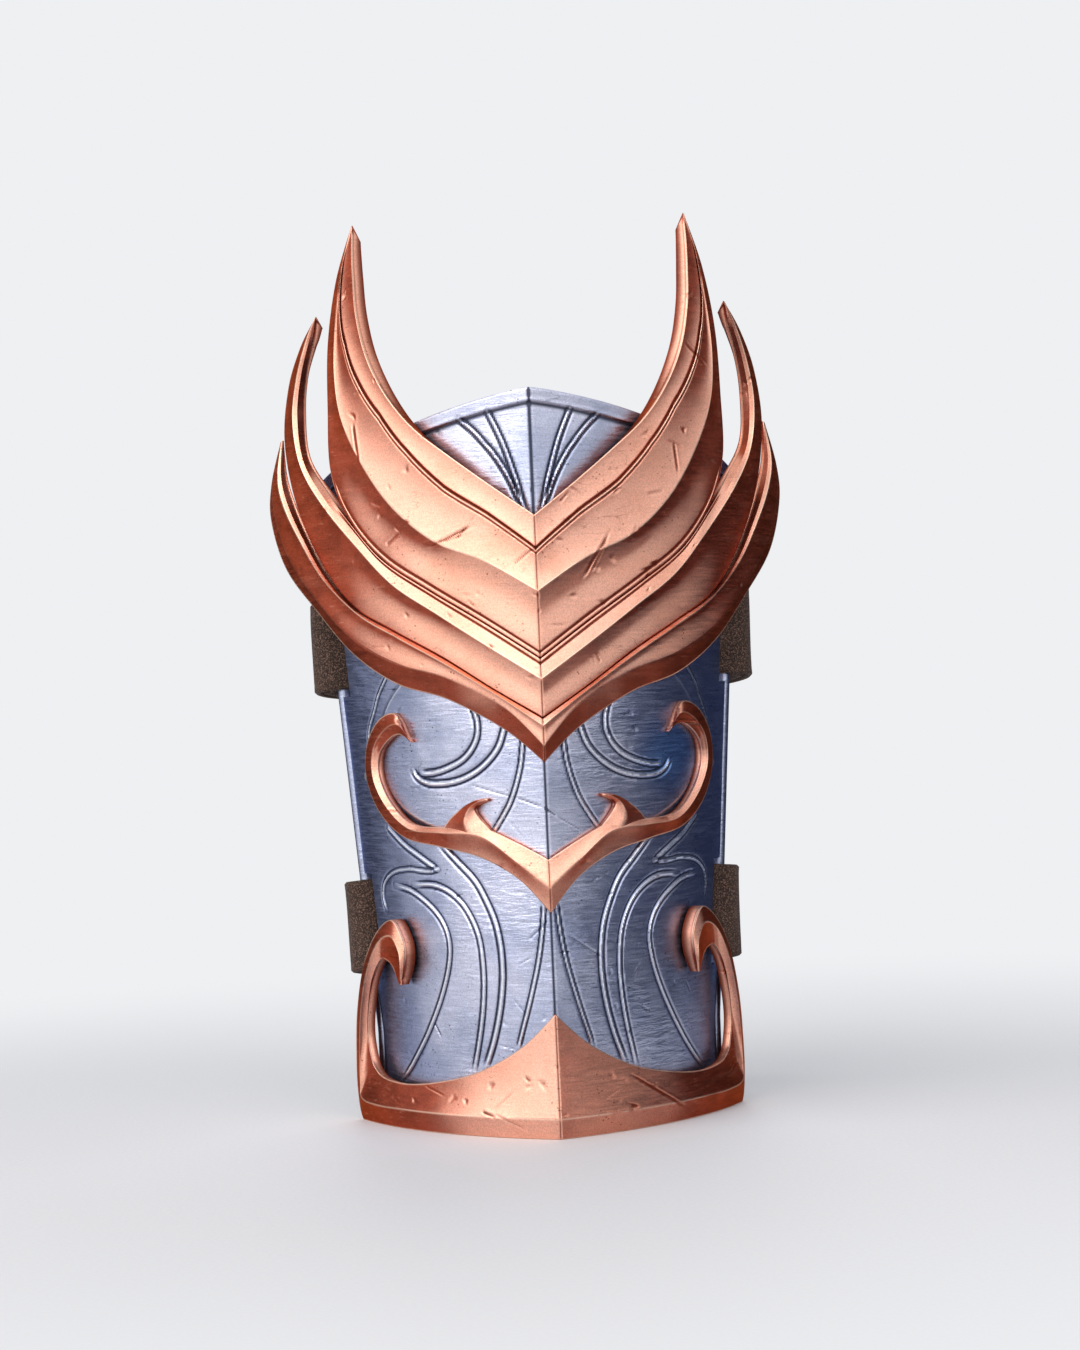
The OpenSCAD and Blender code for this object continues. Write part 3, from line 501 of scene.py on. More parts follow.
def brushed_metal(name, lit, dark, deep, edge_tint, tone_and_painted_shade, seed, rough, streaks, ripple=0.0):
    """Metal brushed from side to side, with pits, scratches, grime and painted shade, and painted highlights.

    lit and dark are its colours, deep that of the grime and the painted shade, and age gives the metal
    its tone and painted shade before it is brushed."""
    s = new_material(name)
    cavity = s.attribute("cavity")
    brush = s.noise(s.at((110, 110, 2300), shift=(seed, 0, 0)), 1.0, 5.0, 0.62)
    dash = s.span(s.noise(s.at((260, 260, 1300), (0.0, 0.06, 0.0), shift=(0, 0, seed)), 1.0, 2.0), 0.60, 0.70)
    dash = s.times(dash, s.span(s.noise(s.place, 48.0, 2.0), 0.42, 0.62))
    broad = s.noise(s.at((25, 25, 260), shift=(0, seed, 0)), 1.0, 4.0, 0.55)
    cloud = s.noise(s.at(shift=(seed, seed, 0)), 34.0, 4.0, 0.6)
    sand = s.noise(s.place, 2300.0, 2.0, 0.6)
    pits = s.span(s.cells(s.at((1, 1, 1.4)), 620.0), 0.10, 0.26, 1.0, 0.0)
    pits = s.times(pits, s.span(s.noise(s.place, 130.0, 2.0), 0.55, 0.66))
    scratch = s.larger(
        scratch_mask(s, (90, 90, 420), (0.0, 0.55, 0.0), 0.012, 40.0),
        scratch_mask(s, (110, 110, 380), (0.0, -0.8, 0.3), 0.010, 55.0),
    )
    base = tone_and_painted_shade(s, s.mix(s.span(cloud, 0.35, 0.70), lit, dark), cloud, seed)
    streak = s.mix(s.span(brush, 0.30, 0.75), (0.72, 0.72, 0.72), (1.12, 1.12, 1.12))
    base = s.mix(0.55 * streaks, base, streak, "MULTIPLY")
    base = s.mix(s.span(broad, 0.55, 0.8, 0.0, 0.3 * streaks), base, dark)
    base = s.mix(s.times(dash, 0.5 * streaks), base, dark)
    fleck = s.mix(s.span(sand, 0.35, 0.65), (0.72, 0.72, 0.72), (1.18, 1.18, 1.18))
    base = s.mix(0.45, base, fleck, "MULTIPLY")
    base = s.mix(s.times(pits, 0.75), base, deep)
    # grime and painted shade where the groove value is above 0, a painted highlight, a lighter copy of lit,
    # where it is below 0
    base = s.mix(s.span(cavity, 0.12, 0.75, 0.0, 0.92), base, deep)
    base = s.mix(s.span(cavity, -0.08, -0.42, 0.0, 0.75), base, tuple(min(1, c * 1.35 + 0.05) for c in lit))
    base = s.mix(s.times(scratch, 0.35), base, deep)
    gloss = s.span(brush, 0.25, 0.8, rough - 0.07, rough + 0.10)
    gloss = s.calc("ADD", gloss, s.span(cavity, 0.15, 0.8, 0.0, 0.22), clamp=True)
    n = s.bump(brush, 0.16 + 0.16 * streaks, 0.00012)
    n = s.bump(sand, 0.25, 0.00008, n)
    n = s.bump(dash, -0.4, 0.00012, n)
    if ripple:
        wave = s.noise(s.at((150, 150, 820), (0.0, 0.25, 0.1), shift=(seed, seed, 0)), 1.0, 3.0, 0.6)
        wave = s.times(wave, s.span(s.noise(s.place, 31.0, 3.0, 0.6), 0.46, 0.60, 0.25, 1.0))
        n = s.bump(wave, ripple, 0.0006, n)
    n = s.bump(pits, -0.5, 0.00018, n)
    n = s.bump(scratch, -0.5, 0.00012, n)
    s.set(color=base, metal=1.0, rough=gloss, normal=n, aniso=0.35, edge_tint=edge_tint)
    return s.owner


def plain_metal(name, color, dark, rough, scale):
    """Turned or stamped small metal piece with a little tarnish."""
    s = new_material(name)
    spots = s.noise(s.place, scale, 4.0, 0.6)
    fine = s.noise(s.place, scale * 9, 3.0)
    base = s.mix(s.span(spots, 0.42, 0.68), color, dark)
    base = s.mix(s.span(fine, 0.55, 0.7, 0.0, 0.4), base, dark)
    s.set(color=base, metal=1.0, rough=s.span(fine, 0.3, 0.8, rough, rough + 0.15))
    s.set(normal=s.bump(fine, 0.25, 0.0001))
    return s.owner


def leather(name):
    """Dark brown nubuck with a fine lit speckle."""
    s = new_material(name)
    grain = s.noise(s.place, 2500.0, 2.0, 0.6)
    cells = s.cells(s.place, 1700.0)
    cloud = s.noise(s.place, 90.0, 4.0, 0.6)
    cross = s.noise(s.at((260, 260, 2600), (0.0, 0.7, 0.0)), 1.0, 2.0)
    base = s.mix(s.span(cloud, 0.35, 0.7), (0.034, 0.020, 0.015), (0.058, 0.034, 0.026))
    base = s.mix(s.span(grain, 0.48, 0.64, 0.0, 0.85), base, (0.240, 0.142, 0.106))
    base = s.mix(s.span(cells, 0.45, 0.75, 0.0, 0.5), base, (0.030, 0.020, 0.016))
    base = s.mix(s.span(cross, 0.55, 0.72, 0.0, 0.25), base, (0.16, 0.115, 0.09))
    base = s.mix(s.span(s.attribute("cavity"), 0.2, 0.9, 0.0, 0.7), base, (0.028, 0.018, 0.014))
    n = s.bump(grain, 0.5, 0.00025, s.bump(cells, -0.55, 0.00035))
    s.set(color=base, rough=s.span(grain, 0.3, 0.8, 0.92, 0.72), normal=n)
    s.set(metal=0.0, sheen=0.04, sheen_rough=0.5, specular=0.17)
    return s.owner


STEEL = brushed_metal(
    "blued_steel", lit=(0.68, 0.69, 0.84), dark=(0.42, 0.46, 0.62), deep=(0.022, 0.026, 0.050),
    edge_tint=(0.50, 0.60, 0.90), tone_and_painted_shade=blued, seed=1.7, rough=0.34, streaks=0.75, ripple=0.42,
)
COPPER = brushed_metal(
    "brushed_copper", lit=(0.93, 0.50, 0.37), dark=(0.84, 0.40, 0.28), deep=(0.16, 0.030, 0.015),
    edge_tint=(0.95, 0.42, 0.26), tone_and_painted_shade=mottled_painted_shade, seed=4.3, rough=0.43, streaks=0.4,
)
LEATHER = leather("strap_leather")
BRASS = plain_metal("snap_brass", (0.62, 0.44, 0.20), (0.30, 0.19, 0.08), 0.28, 260.0)
RIVET = plain_metal("rivet_copper", (0.78, 0.38, 0.24), (0.42, 0.16, 0.09), 0.30, 240.0)
ZINC = plain_metal("fastener_steel", (0.50, 0.50, 0.53), (0.26, 0.26, 0.28), 0.32, 220.0)


# The plate
# Engraved lines on one half: width, depth and points (distance from the ridge plane, height)
ENGRAVED = [
    (1.0, 0.50, [
        (18.8, 119), (18.0, 115.5), (17.3, 112), (17.6, 108.4), (19.2, 105), (21.8, 102.2), (25.5, 100.2),
        (29.5, 98.9), (33.2, 98.6),
    ]),
    (1.0, 0.50, [
        (9.6, 113), (10.4, 110), (12.0, 105.5), (14.8, 101.8), (18.4, 98.8), (22.5, 96.8), (26.7, 95.9),
        (31.0, 95.9), (34.0, 97.4), (35.5, 99.8),
    ]),
    (0.8, 0.45, [
        (5.2, 109), (5.6, 105.5), (6.3, 100.5), (7.6, 95.5), (9.4, 90.6), (11.6, 86.6), (14.2, 82.5),
    ]),
    (0.7, 0.30, [(42.0, 126), (44.7, 120.8), (46.2, 116), (47.8, 111), (48.0, 106)]),
    (1.0, 0.42, [(43.5, 83.5), (42.4, 82.2), (39.2, 78.8), (35.2, 75.8), (30.0, 72)]),
    (0.8, 0.34, [(29.8, 72.2), (33.0, 71.5), (37.8, 72), (42.4, 71), (45.2, 68), (45.8, 63.8), (45.0, 60)]),
    (0.95, 0.48, [
        (42.4, 67.2), (38.0, 66.1), (33.6, 63), (30.2, 59.2), (28.2, 55), (27.6, 50.5), (28.2, 45.3),
        (29.7, 39.4), (32.2, 32.4), (35.4, 25), (39.0, 18), (42.4, 12.2),
    ]),
    (0.95, 0.48, [
        (37.2, 67.6), (31.8, 67.9), (27.5, 66.3), (23.8, 63), (21.2, 58.6), (19.5, 53.5), (18.8, 47.4),
        (18.7, 41), (19.3, 33.6), (20.6, 25.4), (22.6, 16),
    ]),
    (1.05, 0.52, [
        (29.5, 80), (24.6, 74.4), (20.0, 69.2), (17.1, 63.6), (15.0, 58), (13.9, 52.4), (13.5, 46.8),
        (13.7, 41), (14.8, 33.2), (16.8, 25), (19.4, 17.5),
    ]),
    (0.75, 0.42, [
        (1.7, 63), (2.1, 58.5), (2.9, 52.5), (4.0, 46.5), (5.5, 40.4), (7.1, 34.4), (8.5, 29.6), (10.2, 23.5),
    ]),
    (0.85, 0.50, [
        (11.2, 196.2), (9.4, 192.2), (7.6, 187.8), (6.2, 183.6), (5.0, 179.6), (3.9, 175.6), (2.6, 169),
    ]),
    (0.85, 0.50, [
        (18.9, 194.8), (15.6, 191.7), (12.7, 188.2), (10.0, 184.6), (7.7, 180.8), (5.6, 176.6), (3.4, 171),
    ]),
]
# Outline of the raised panel that the scroll frames, on one half
PANEL = [
    (0, 134), (20, 131), (34, 127), (38, 123.5), (41.8, 118), (44.2, 111.5), (44.8, 105), (43.9, 98.4),
    (41.8, 93.2), (38.8, 88.9), (34.5, 85.8), (27, 82), (17, 78), (0, 67),
]
# Cells of the inner face, each as wide and high as FINE cells of the outer face: WIDE columns from the
# ridge to the slots, NARROW ones over the slots and rows a band. The elbow edge keeps the columns of TOP_Z.
FINE = 6
WIDE, NARROW, TOP_ROWS, TOP_Z = 30, 4, 14, 165.0
LOWER_SLOT, UPPER_SLOT = ((z - SLOT_HALF, z + SLOT_HALF) for z in (LOWER_Z, UPPER_Z))
BANDS = [
    (PLATE_LIFT, LOWER_SLOT[0], 16),
    (*LOWER_SLOT, 12),
    (LOWER_SLOT[1], UPPER_SLOT[0], 20),
    (*UPPER_SLOT, 12),
]
SLOT_BANDS = (1, 3)


def unrolled(points, per):
    """Smooth line through points, in distances along the plate from the ridge and heights."""
    c = through(points, np.linspace(0, len(points) - 1, (len(points) - 1) * per + 1))
    r = wall_r(c[:, 1])
    return r * (np.arcsin((c[:, 0] + r * KS) / r) - KEEL), c[:, 1]


def line_field(s, z, points):
    """Where a smooth line is near, the distance to it and how it fades towards its ends."""
    reach, far, ends = 3.5, 9.0, 0.07
    cs, cz = unrolled(points, 6)
    near = (s > cs.min() - reach) & (s < cs.max() + reach) & (z > cz.min() - reach) & (z < cz.max() + reach)
    best, where = np.full(near.sum(), far), np.zeros(near.sum())
    count = len(cs) - 1
    for k in range(count):
        d, t = segment_distance(s[near], z[near], cs[k], cz[k], cs[k + 1], cz[k + 1])
        closer = d < best
        best[closer] = d[closer]
        where[closer] = (k + np.clip(t[closer], 0, 1)) / count
    return near, best, smooth(where, 0.0, ends) * smooth(1 - where, 0.0, ends)


def engraving(s, z):
    """Height and groove value of the engraved lines, each a groove round a low ridge."""
    h, g = np.zeros_like(s), np.zeros_like(s)
    for width, depth, points in ENGRAVED:
        near, d, fade = line_field(s, z, points)
        groove, ridge = hump(d - 0.98 * width, 0.36 * width), hump(d, 0.40 * width)
        fade = 0.25 + 0.75 * fade
        h[near] += fade * (0.42 * depth * ridge - depth * groove)
        # the groove is darker with grime and painted shade, the ridge lighter with a painted highlight
        g[near] += fade * (1.05 * groove - 0.55 * ridge)
    return h, g


def inside(s, z, points):
    """Signed distance to a closed outline, positive inside it."""
    cs, cz = unrolled(points, 4)
    best, odd = np.full(s.shape, 99.0), np.zeros(s.shape, bool)
    for k in range(len(cs) - 1):
        d, _ = segment_distance(s, z, cs[k], cz[k], cs[k + 1], cz[k + 1])
        best = np.minimum(best, d)
        cross = (cz[k] > z) != (cz[k + 1] > z)
        at = cs[k] + (z - cz[k]) / (cz[k + 1] - cz[k] + 1e-9) * (cs[k + 1] - cs[k])
        odd ^= cross & (s < at)
    return np.where(odd, best, -best)


def plate_grid():
    """Heights and shares of the way to the rim, of the fine rows and columns of the right half."""
    straight = np.concatenate([np.linspace(a, b, n * FINE, endpoint=False) for a, b, n in BANDS])
    wide, narrow = WIDE * FINE, NARROW * FINE
    share = np.concatenate([np.arange(wide) / wide, 1 + np.arange(narrow + 1) / narrow])[None]

    def q_at(z):
        """Columns that follow the slots' inner ends."""
        slot = 1 - SLOT_DEPTH / (wall_r(z) * (FLANK - KEEL))
        return np.where(share < 1, share * slot, slot + (share - 1) * (1 - slot))

    z_low = np.repeat(straight[:, None], share.size, 1)
    q_top = q_at(np.full(share.shape, TOP_Z))
    edge = elbow_z(q_top)
    border_z = edge - BORDER_W
    step_z = border_z - 1.0
    t = np.arange(TOP_ROWS * FINE)[:, None] / (TOP_ROWS * FINE)
    z_top = UPPER_SLOT[1] + (step_z - UPPER_SLOT[1]) * t
    step = step_z + np.arange(FINE)[:, None] / FINE
    border = border_z + BORDER_W * np.arange(2 * FINE + 1)[:, None] / (2 * FINE)
    # the columns ease from the slots' to those of the top
    q_mid = q_at(z_top) * (1 - t) + q_top * t
    z = np.vstack([z_low, z_top, step, border])
    return z, np.vstack([q_at(z_low), q_mid, np.repeat(q_top, len(step) + len(border), 0)])


def plate_relief(s, z, below):
    """Height and groove value of the border, the engraving, the raised panel and the ridge line."""
    h = BORDER_PROUD * smooth(-below, -BORDER_W - 1.0, -BORDER_W) - 0.3 * smooth(-below, -0.45, 0.05)
    # groove values: a darker line below the border, and a painted highlight along the border's edge and along
    # the elbow edge
    g = 0.55 * hump(below - BORDER_W - 1.1, 0.5) - 0.35 * hump(below - BORDER_W + 0.3, 0.4)
    g -= 0.4 * hump(below, 0.4)
    # painted shade: the top and the border are a little darker and rougher
    g += 0.22 * smooth(z, 150, 178) + 0.10 * smooth(-below, -BORDER_W - 0.6, -BORDER_W + 0.2)
    engraved_h, engraved_g = engraving(s, z)
    panel = inside(s, z, PANEL)
    h += engraved_h + 0.6 * smooth(panel, -0.9, 0.7) - 0.32 * hump(s, 0.4)
    # the panel gets a darker line outside its edge and a painted highlight inside it, and the ridge a darker
    # line
    g += engraved_g + 0.35 * hump(panel + 1.0, 0.5) - 0.3 * hump(panel - 0.6, 0.5) + 0.95 * hump(s, 0.42)
    return h, g


def plate_edges(hole, fine_cols, base):
    """Triangles across the sheet's edge, round the cells of the inner face that aren't in a hole."""
    half = FINE // 2
    solid = np.pad(~hole, 1)
    corners = [(0, 0), (0, 1), (1, 1), (1, 0), (0, 0)]
    beyond = [(-1, 0), (0, 1), (1, 0), (0, -1)]
    faces = []
    for i, j in np.argwhere(~hole):
        for (i0, j0), (i1, j1), (step_i, step_j) in zip(corners, corners[1:], beyond):
            if solid[i + step_i + 1, j + step_j + 1]:
                continue
            fine = [
                ((i + i0) * FINE + (i1 - i0) * k) * fine_cols + (j + j0) * FINE + (j1 - j0) * k
                for k in range(FINE + 1)
            ]
            a, b = (base + (i + di) * (hole.shape[1] + 1) + j + dj for di, dj in ((i0, j0), (i1, j1)))
            for k in range(half):
                faces += [(fine[k + 1], fine[k], a), (fine[half + k + 1], fine[half + k], b)]
            faces.append((fine[half], a, b))
    return np.array(faces)


def rolled_rim(part, side):
    """Round bar along one rim of the plate, with domed ends."""
    # a groove value below 0 paints a faint highlight along the rim
    radius, rim_highlight = ROLL_R - 0.02, -0.17
    heights = np.linspace(PLATE_LIFT + 0.9, elbow_z(1) - 1.2, 120)
    path = np.array([rim_at(z) for z in heights]) * [side, 1, 1]
    way = np.gradient(path, axis=0)
    way /= np.linalg.norm(way, axis=1, keepdims=True)
    across = np.cross(way, [0.0, 1, 0])
    across /= np.linalg.norm(across, axis=1, keepdims=True)
    up = np.cross(across, way)
    # a dome at each end: how far out past the path in radii, and the share of the radius there
    dome = [(0.49, 0.15), (0.375, 0.6), (0.175, 0.9)]
    stops = [(0, -out, share) for out, share in dome]
    stops += [(k, 0, 1) for k in range(len(path))]
    stops += [(-1, out, share) for out, share in dome[::-1]]
    a = circle(20)[:, None]
    centres = np.array([path[k] + way[k] * radius * out for k, out, _ in stops])
    turns = [share * (np.cos(a) * across[k] + np.sin(a) * up[k]) for k, _, share in stops]
    part.add_rings(centres[:, None] + radius * np.array(turns), rim_highlight, centres[[0, -1]])


def plate():
    """One closed sheet of fine cells outside and coarse ones inside, with its slots and rolled rims."""
    z, q = plate_grid()
    rows, cols = z.shape
    s = q * wall_r(z) * (FLANK - KEEL)
    h, g = plate_relief(s, z, elbow_z(q) - z)
    side = np.repeat([-1.0, 1.0], [cols - 1, cols])[None]
    z, q, h, g, s = (mirrored(a.T).T for a in (z, q, h, g, s))
    x = side * s
    worn_h, worn_g = worn(x, z, *marks(11, (-62, 62, 14, 196), 70, 16, *PLATE_MARKS))
    off_ridge = smooth(abs(x), 0.2, 1.5)
    h += worn_h * off_ridge + uneven(x, z, 0.055, 0.8) * off_ridge
    g += worn_g
    outer = plate_point(side, q, z, h)
    coarse = np.s_[::FINE, ::FINE]
    inner = plate_point(side[coarse], q[coarse], z[coarse], -SHEET_T)

    cell_rows, cell_cols = inner.shape[0] - 1, inner.shape[1] - 1
    hole = np.zeros((cell_rows, cell_cols), bool)
    for k in SLOT_BANDS:
        first = sum(n for _, _, n in BANDS[:k])
        slot = slice(first, first + BANDS[k][2])
        hole[slot, :NARROW] = hole[slot, cell_cols - NARROW :] = True
    keep = ~np.repeat(np.repeat(hole, FINE, 0), FINE, 1).ravel()
    base = x.size
    faces = [
        grid_faces(rows, x.shape[1])[keep],
        grid_faces(cell_rows + 1, cell_cols + 1)[~hole.ravel()][:, ::-1] + base,
        plate_edges(hole, x.shape[1], base),
    ]
    part = Part()
    verts = np.vstack([outer.reshape(-1, 3), inner.reshape(-1, 3)])
    part.add(verts, faces, np.append(g, np.zeros(len(verts) - base)))
    rolled_rim(part, -1)
    rolled_rim(part, 1)
    part.build("arm_plate_shell", "arm_plate", STEEL, "blued_steel", "shell")


# Stations of the trims, from the ridge to the tip: points (beside the ridge, height, share of the thickness)
# from the lower edge over the creases to the upper edge. Tucks draw the two edges of the back in.
def seam(x, z, side):
    """Edge along a neighbouring feather, below (-0.5) or above (0.5) the middle of the gap between them."""
    return (x, z + side * SEAM_GAP, SEAM_T / CREST_T)


UPPER = [
    [seam(0, 129, 0.5), (0, 147, 1), (0, 167.5, 0.8)],
    [seam(15, 139.5, 0.5), (14, 156, 1), (11, 176, 0.8)],
    [seam(29, 148.8, 0.5), (27, 162, 1), (22, 185, 0.8)],
    [seam(41.5, 158, 0.5), (38, 172, 1), (31.5, 193.5, 0.8)],
    [seam(50.5, 170, 0.5), (46, 184.5, 1), (38.5, 203, 0.86)],
    [(55.3, 184, 0.6), (51.5, 198, 1), (43.5, 214, 0.9)],
    [(55.4, 202, 0.6), (53, 211, 0.94), (46, 226, 0.9)],
    [(54.6, 220, 0.48), (52, 226, 0.84), (46.5, 237, 0.84)],
    [(51.5, 237, 0.46), (49.8, 239.5, 0.74), (46.4, 245.5, 0.74)],
    [(46.6, 250.6, 0.6), (46.4, 251.1, 0.66), (46, 251.5, 0.62)],
]
UPPER_TUCKS = [[0, 2.5], [0, 2.2], [0, 1.5], [0, 0.6]] + [[0, 0]] * 5
# Where the double line of the upper feather lies, as a share of the way over its crease, a station
UPPER_LINE = [0.52, 0.585, 0.61, 0.68, 0.69, 0.60, 0.47, 0.22, 0.10, 0.05]
MIDDLE = [
    [seam(0, 113, 0.5), (0, 123.4, 1), seam(0, 129, -0.5)],
    [seam(13, 121.3, 0.5), (14.5, 133.3, 1), seam(15, 139.5, -0.5)],
    [seam(26, 130.2, 0.5), (27, 142.2, 1), seam(29, 148.8, -0.5)],
    [seam(39.3, 138.2, 0.5), (39, 151, 1), seam(41.5, 158, -0.5)],
    [seam(50, 145.4, 0.5), (48.5, 162, 1), seam(50.2, 169, -0.5)],
    [(58.5, 157.5, 0.6), (58.5, 175.5, 1), (56.2, 178.5, 0.32)],
    [(65.8, 175.5, 0.6), (64.2, 187, 1), (61.7, 189, 0.18)],
    [(68.8, 194, 0.52), (65.9, 200, 0.92), (62.5, 201.5, 0.16)],
    [(67, 209.5, 0.44), (64.2, 211.5, 0.8), (61.2, 212.5, 0.16)],
    [(62.8, 220.5, 0.42), (61, 221.5, 0.7), (58.6, 222, 0.36)],
    [(58.2, 227.6, 0.44), (58, 228, 0.5), (57.6, 228.2, 0.46)],
]
LOWER = [
    [(0, 101, 0.28), (0, 105.5, 0.92), (0, 111, 1), seam(0, 113, -0.5)],
    [(10, 110, 0.28), (10.5, 116.5, 0.92), (11, 119, 1), seam(13, 121.3, -0.5)],
    [(25, 118.8, 0.28), (25, 124.7, 0.92), (25, 128.3, 1), seam(26, 130.2, -0.5)],
    [(39, 123.7, 0.28), (38.5, 129, 0.92), (38.3, 136.5, 1), seam(39.3, 138.2, -0.5)],
    [(51, 132.5, 0.32), (50.2, 136, 0.92), (49, 143.5, 1), seam(50, 145, -0.5)],
    [(61, 145, 0.4), (60.2, 147.3, 0.88), (58.7, 154, 1), (57.7, 155.2, 0.4)],
    [(70, 158, 0.4), (68.6, 160.5, 0.8), (65.5, 166.2, 1), (63.3, 167, 0.24)],
    [(74.2, 172.5, 0.36), (72.8, 174, 0.72), (69.8, 176.2, 0.88), (67, 176.8, 0.18)],
    [(73.7, 183, 0.28), (72.9, 183.6, 0.56), (71.3, 184.6, 0.68), (69, 185, 0.14)],
    [(70.4, 194.5, 0.1), (70.2, 194.9, 0.16), (69.9, 195.2, 0.16), (69.5, 195.3, 0.1)],
]
LOWER_TUCKS = [[1.2, 0], [1, 0], [0.6, 0], [0, 0]]


def band(low, high, rows):
    """Stations of a band from rows of (x, z) at its lower edge, ridge and upper edge.

    low and high are the shares of the thickness at the edges, and high is also that of the whole tip."""
    stations = [[(x0, z0, low), (x1, z1, 1), (x2, z2, high)] for x0, z0, x1, z1, x2, z2 in rows[:-1]]
    return stations + [[(x, z, high) for x, z in np.reshape(rows[-1], (3, 2))]]


SCROLL_SHARE, CUFF_SHARE, CUFF_FOOT_SHARE = SCROLL_EDGE / SCROLL_T, CUFF_EDGE / CUFF_T, 0.79
SCROLL = band(SCROLL_SHARE, SCROLL_SHARE, [
    (0, 60.5, 0, 67.5, 0, 75),
    (8, 69.6, 8.6, 74.6, 9, 80),
    (18, 75.6, 18, 81.6, 18, 84),
    (29, 78.5, 28.7, 82.5, 28.5, 84),
    (38.7, 81, 37.3, 83.5, 36.6, 85),
    (45.4, 87.5, 43.4, 89.3, 42, 90.5),
    (49, 97, 47, 97.3, 45, 97.6),
    (48.6, 106.6, 46.8, 105.4, 44.8, 104.2),
    (45, 113.6, 43.3, 111, 41.8, 108.4),
    (40, 115.4, 39.4, 112.4, 38.8, 109.6),
    (36.8, 108.9, 36.2, 108.1, 35.8, 107.4),
])
THORN = band(SCROLL_SHARE, SCROLL_SHARE, [
    (28.4, 82.7, 20.6, 81.8, 12.4, 80.4),
    (26.2, 86, 22, 85.4, 16.8, 84.9),
    (22.6, 89.2, 20.9, 88.8, 19, 88.2),
    (19, 91.2, 18.65, 90.6, 18.3, 89.8),
    (15.8, 91.7, 15.7, 91.4, 15.6, 91.1),
])
# the thorn's root stays just under the scroll's ridge
THORN[0][1] = (20.6, 81.8, 0.98)
CUFF = band(CUFF_FOOT_SHARE, CUFF_SHARE, [
    (0, 0, 0, CUFF_BEVEL_Z, 0, 33.5),
    (11, 0, 11, CUFF_BEVEL_Z, 9, 24.6),
    (22, 0, 22, CUFF_BEVEL_Z, 20.5, 17.6),
    (33, 0, 33, CUFF_BEVEL_Z, 31, 14.1),
    (43, 0, 43, CUFF_BEVEL_Z, 40.5, 12.4),
    (50.5, 0, 50.3, CUFF_BEVEL_Z, 47, 13),
    (54.2, 0, 54.4, CUFF_BEVEL_Z + 1, 49.8, 15.2),
    (55.6, 8, 54.7, 11, 51, 18.5),
    (55.6, 19, 54.4, 20.2, 51.8, 25.4),
    (54.8, 31, 53.5, 31.8, 51, 34),
    (52.4, 43.8, 51.2, 43.2, 49.3, 41.6),
    (48.6, 53.2, 47.9, 51.2, 47, 46.4),
    (43.6, 58, 44.2, 53.6, 45.2, 46.2),
    (40.4, 52.2, 42, 49.6, 44, 45),
    (40.3, 46, 41.6, 45, 43.1, 43),
    (41.3, 39.9, 41.7, 39.8, 42.1, 39.8),
])
NO_TUCKS = [[0, 0], [0, 0]]
# Offsets of the extra lanes along a groove, along a lip and along the knee of the horns' inner faces
GROOVE = (-1.35, -1.1, -0.95, -0.8, -0.6, -0.4, -0.2, 0, 0.2, 0.4, 0.6, 0.8, 0.95, 1.1, 1.35, 1.7)
LIP = (0.9, 1.15, 1.35, 1.5, 1.65, 1.85, 2.1)
KNEE, KNEE_LANES = 0.42, (-0.2, 0, 0.2)


def lanes_across(track, v, steps, lines):
    """Lanes across a strip and its stations' points, as distances from its lower edge, and their lengths.

    steps is the count of lanes between neighbouring points, and lines are extra lanes: between which
    points, at what share of the way at each station, and offsets."""
    seg = np.maximum(np.linalg.norm(np.diff(track[..., :2], axis=1), axis=2), 1e-4)
    c = np.concatenate([np.zeros((len(v), 1)), np.cumsum(seg, 1)], 1)
    end = c[:, -1:]
    small = np.minimum(1, end / 9)
    tight = np.array([0.06, 0.16, 0.3, 0.46])[None]
    across = [end, tight * small, end - tight * small]
    for i, count in enumerate(steps):
        across.append(col(c, i) + col(seg, i) * np.arange(count)[None] / count)
    for i, share, offsets in lines:
        middle = col(c, i) + col(seg, i) * np.interp(v, np.arange(len(share)), share)[:, None]
        across.append(middle + np.array(offsets)[None] * small)
    return np.sort(np.clip(np.concatenate(across, 1), 0, end), 1), c, seg


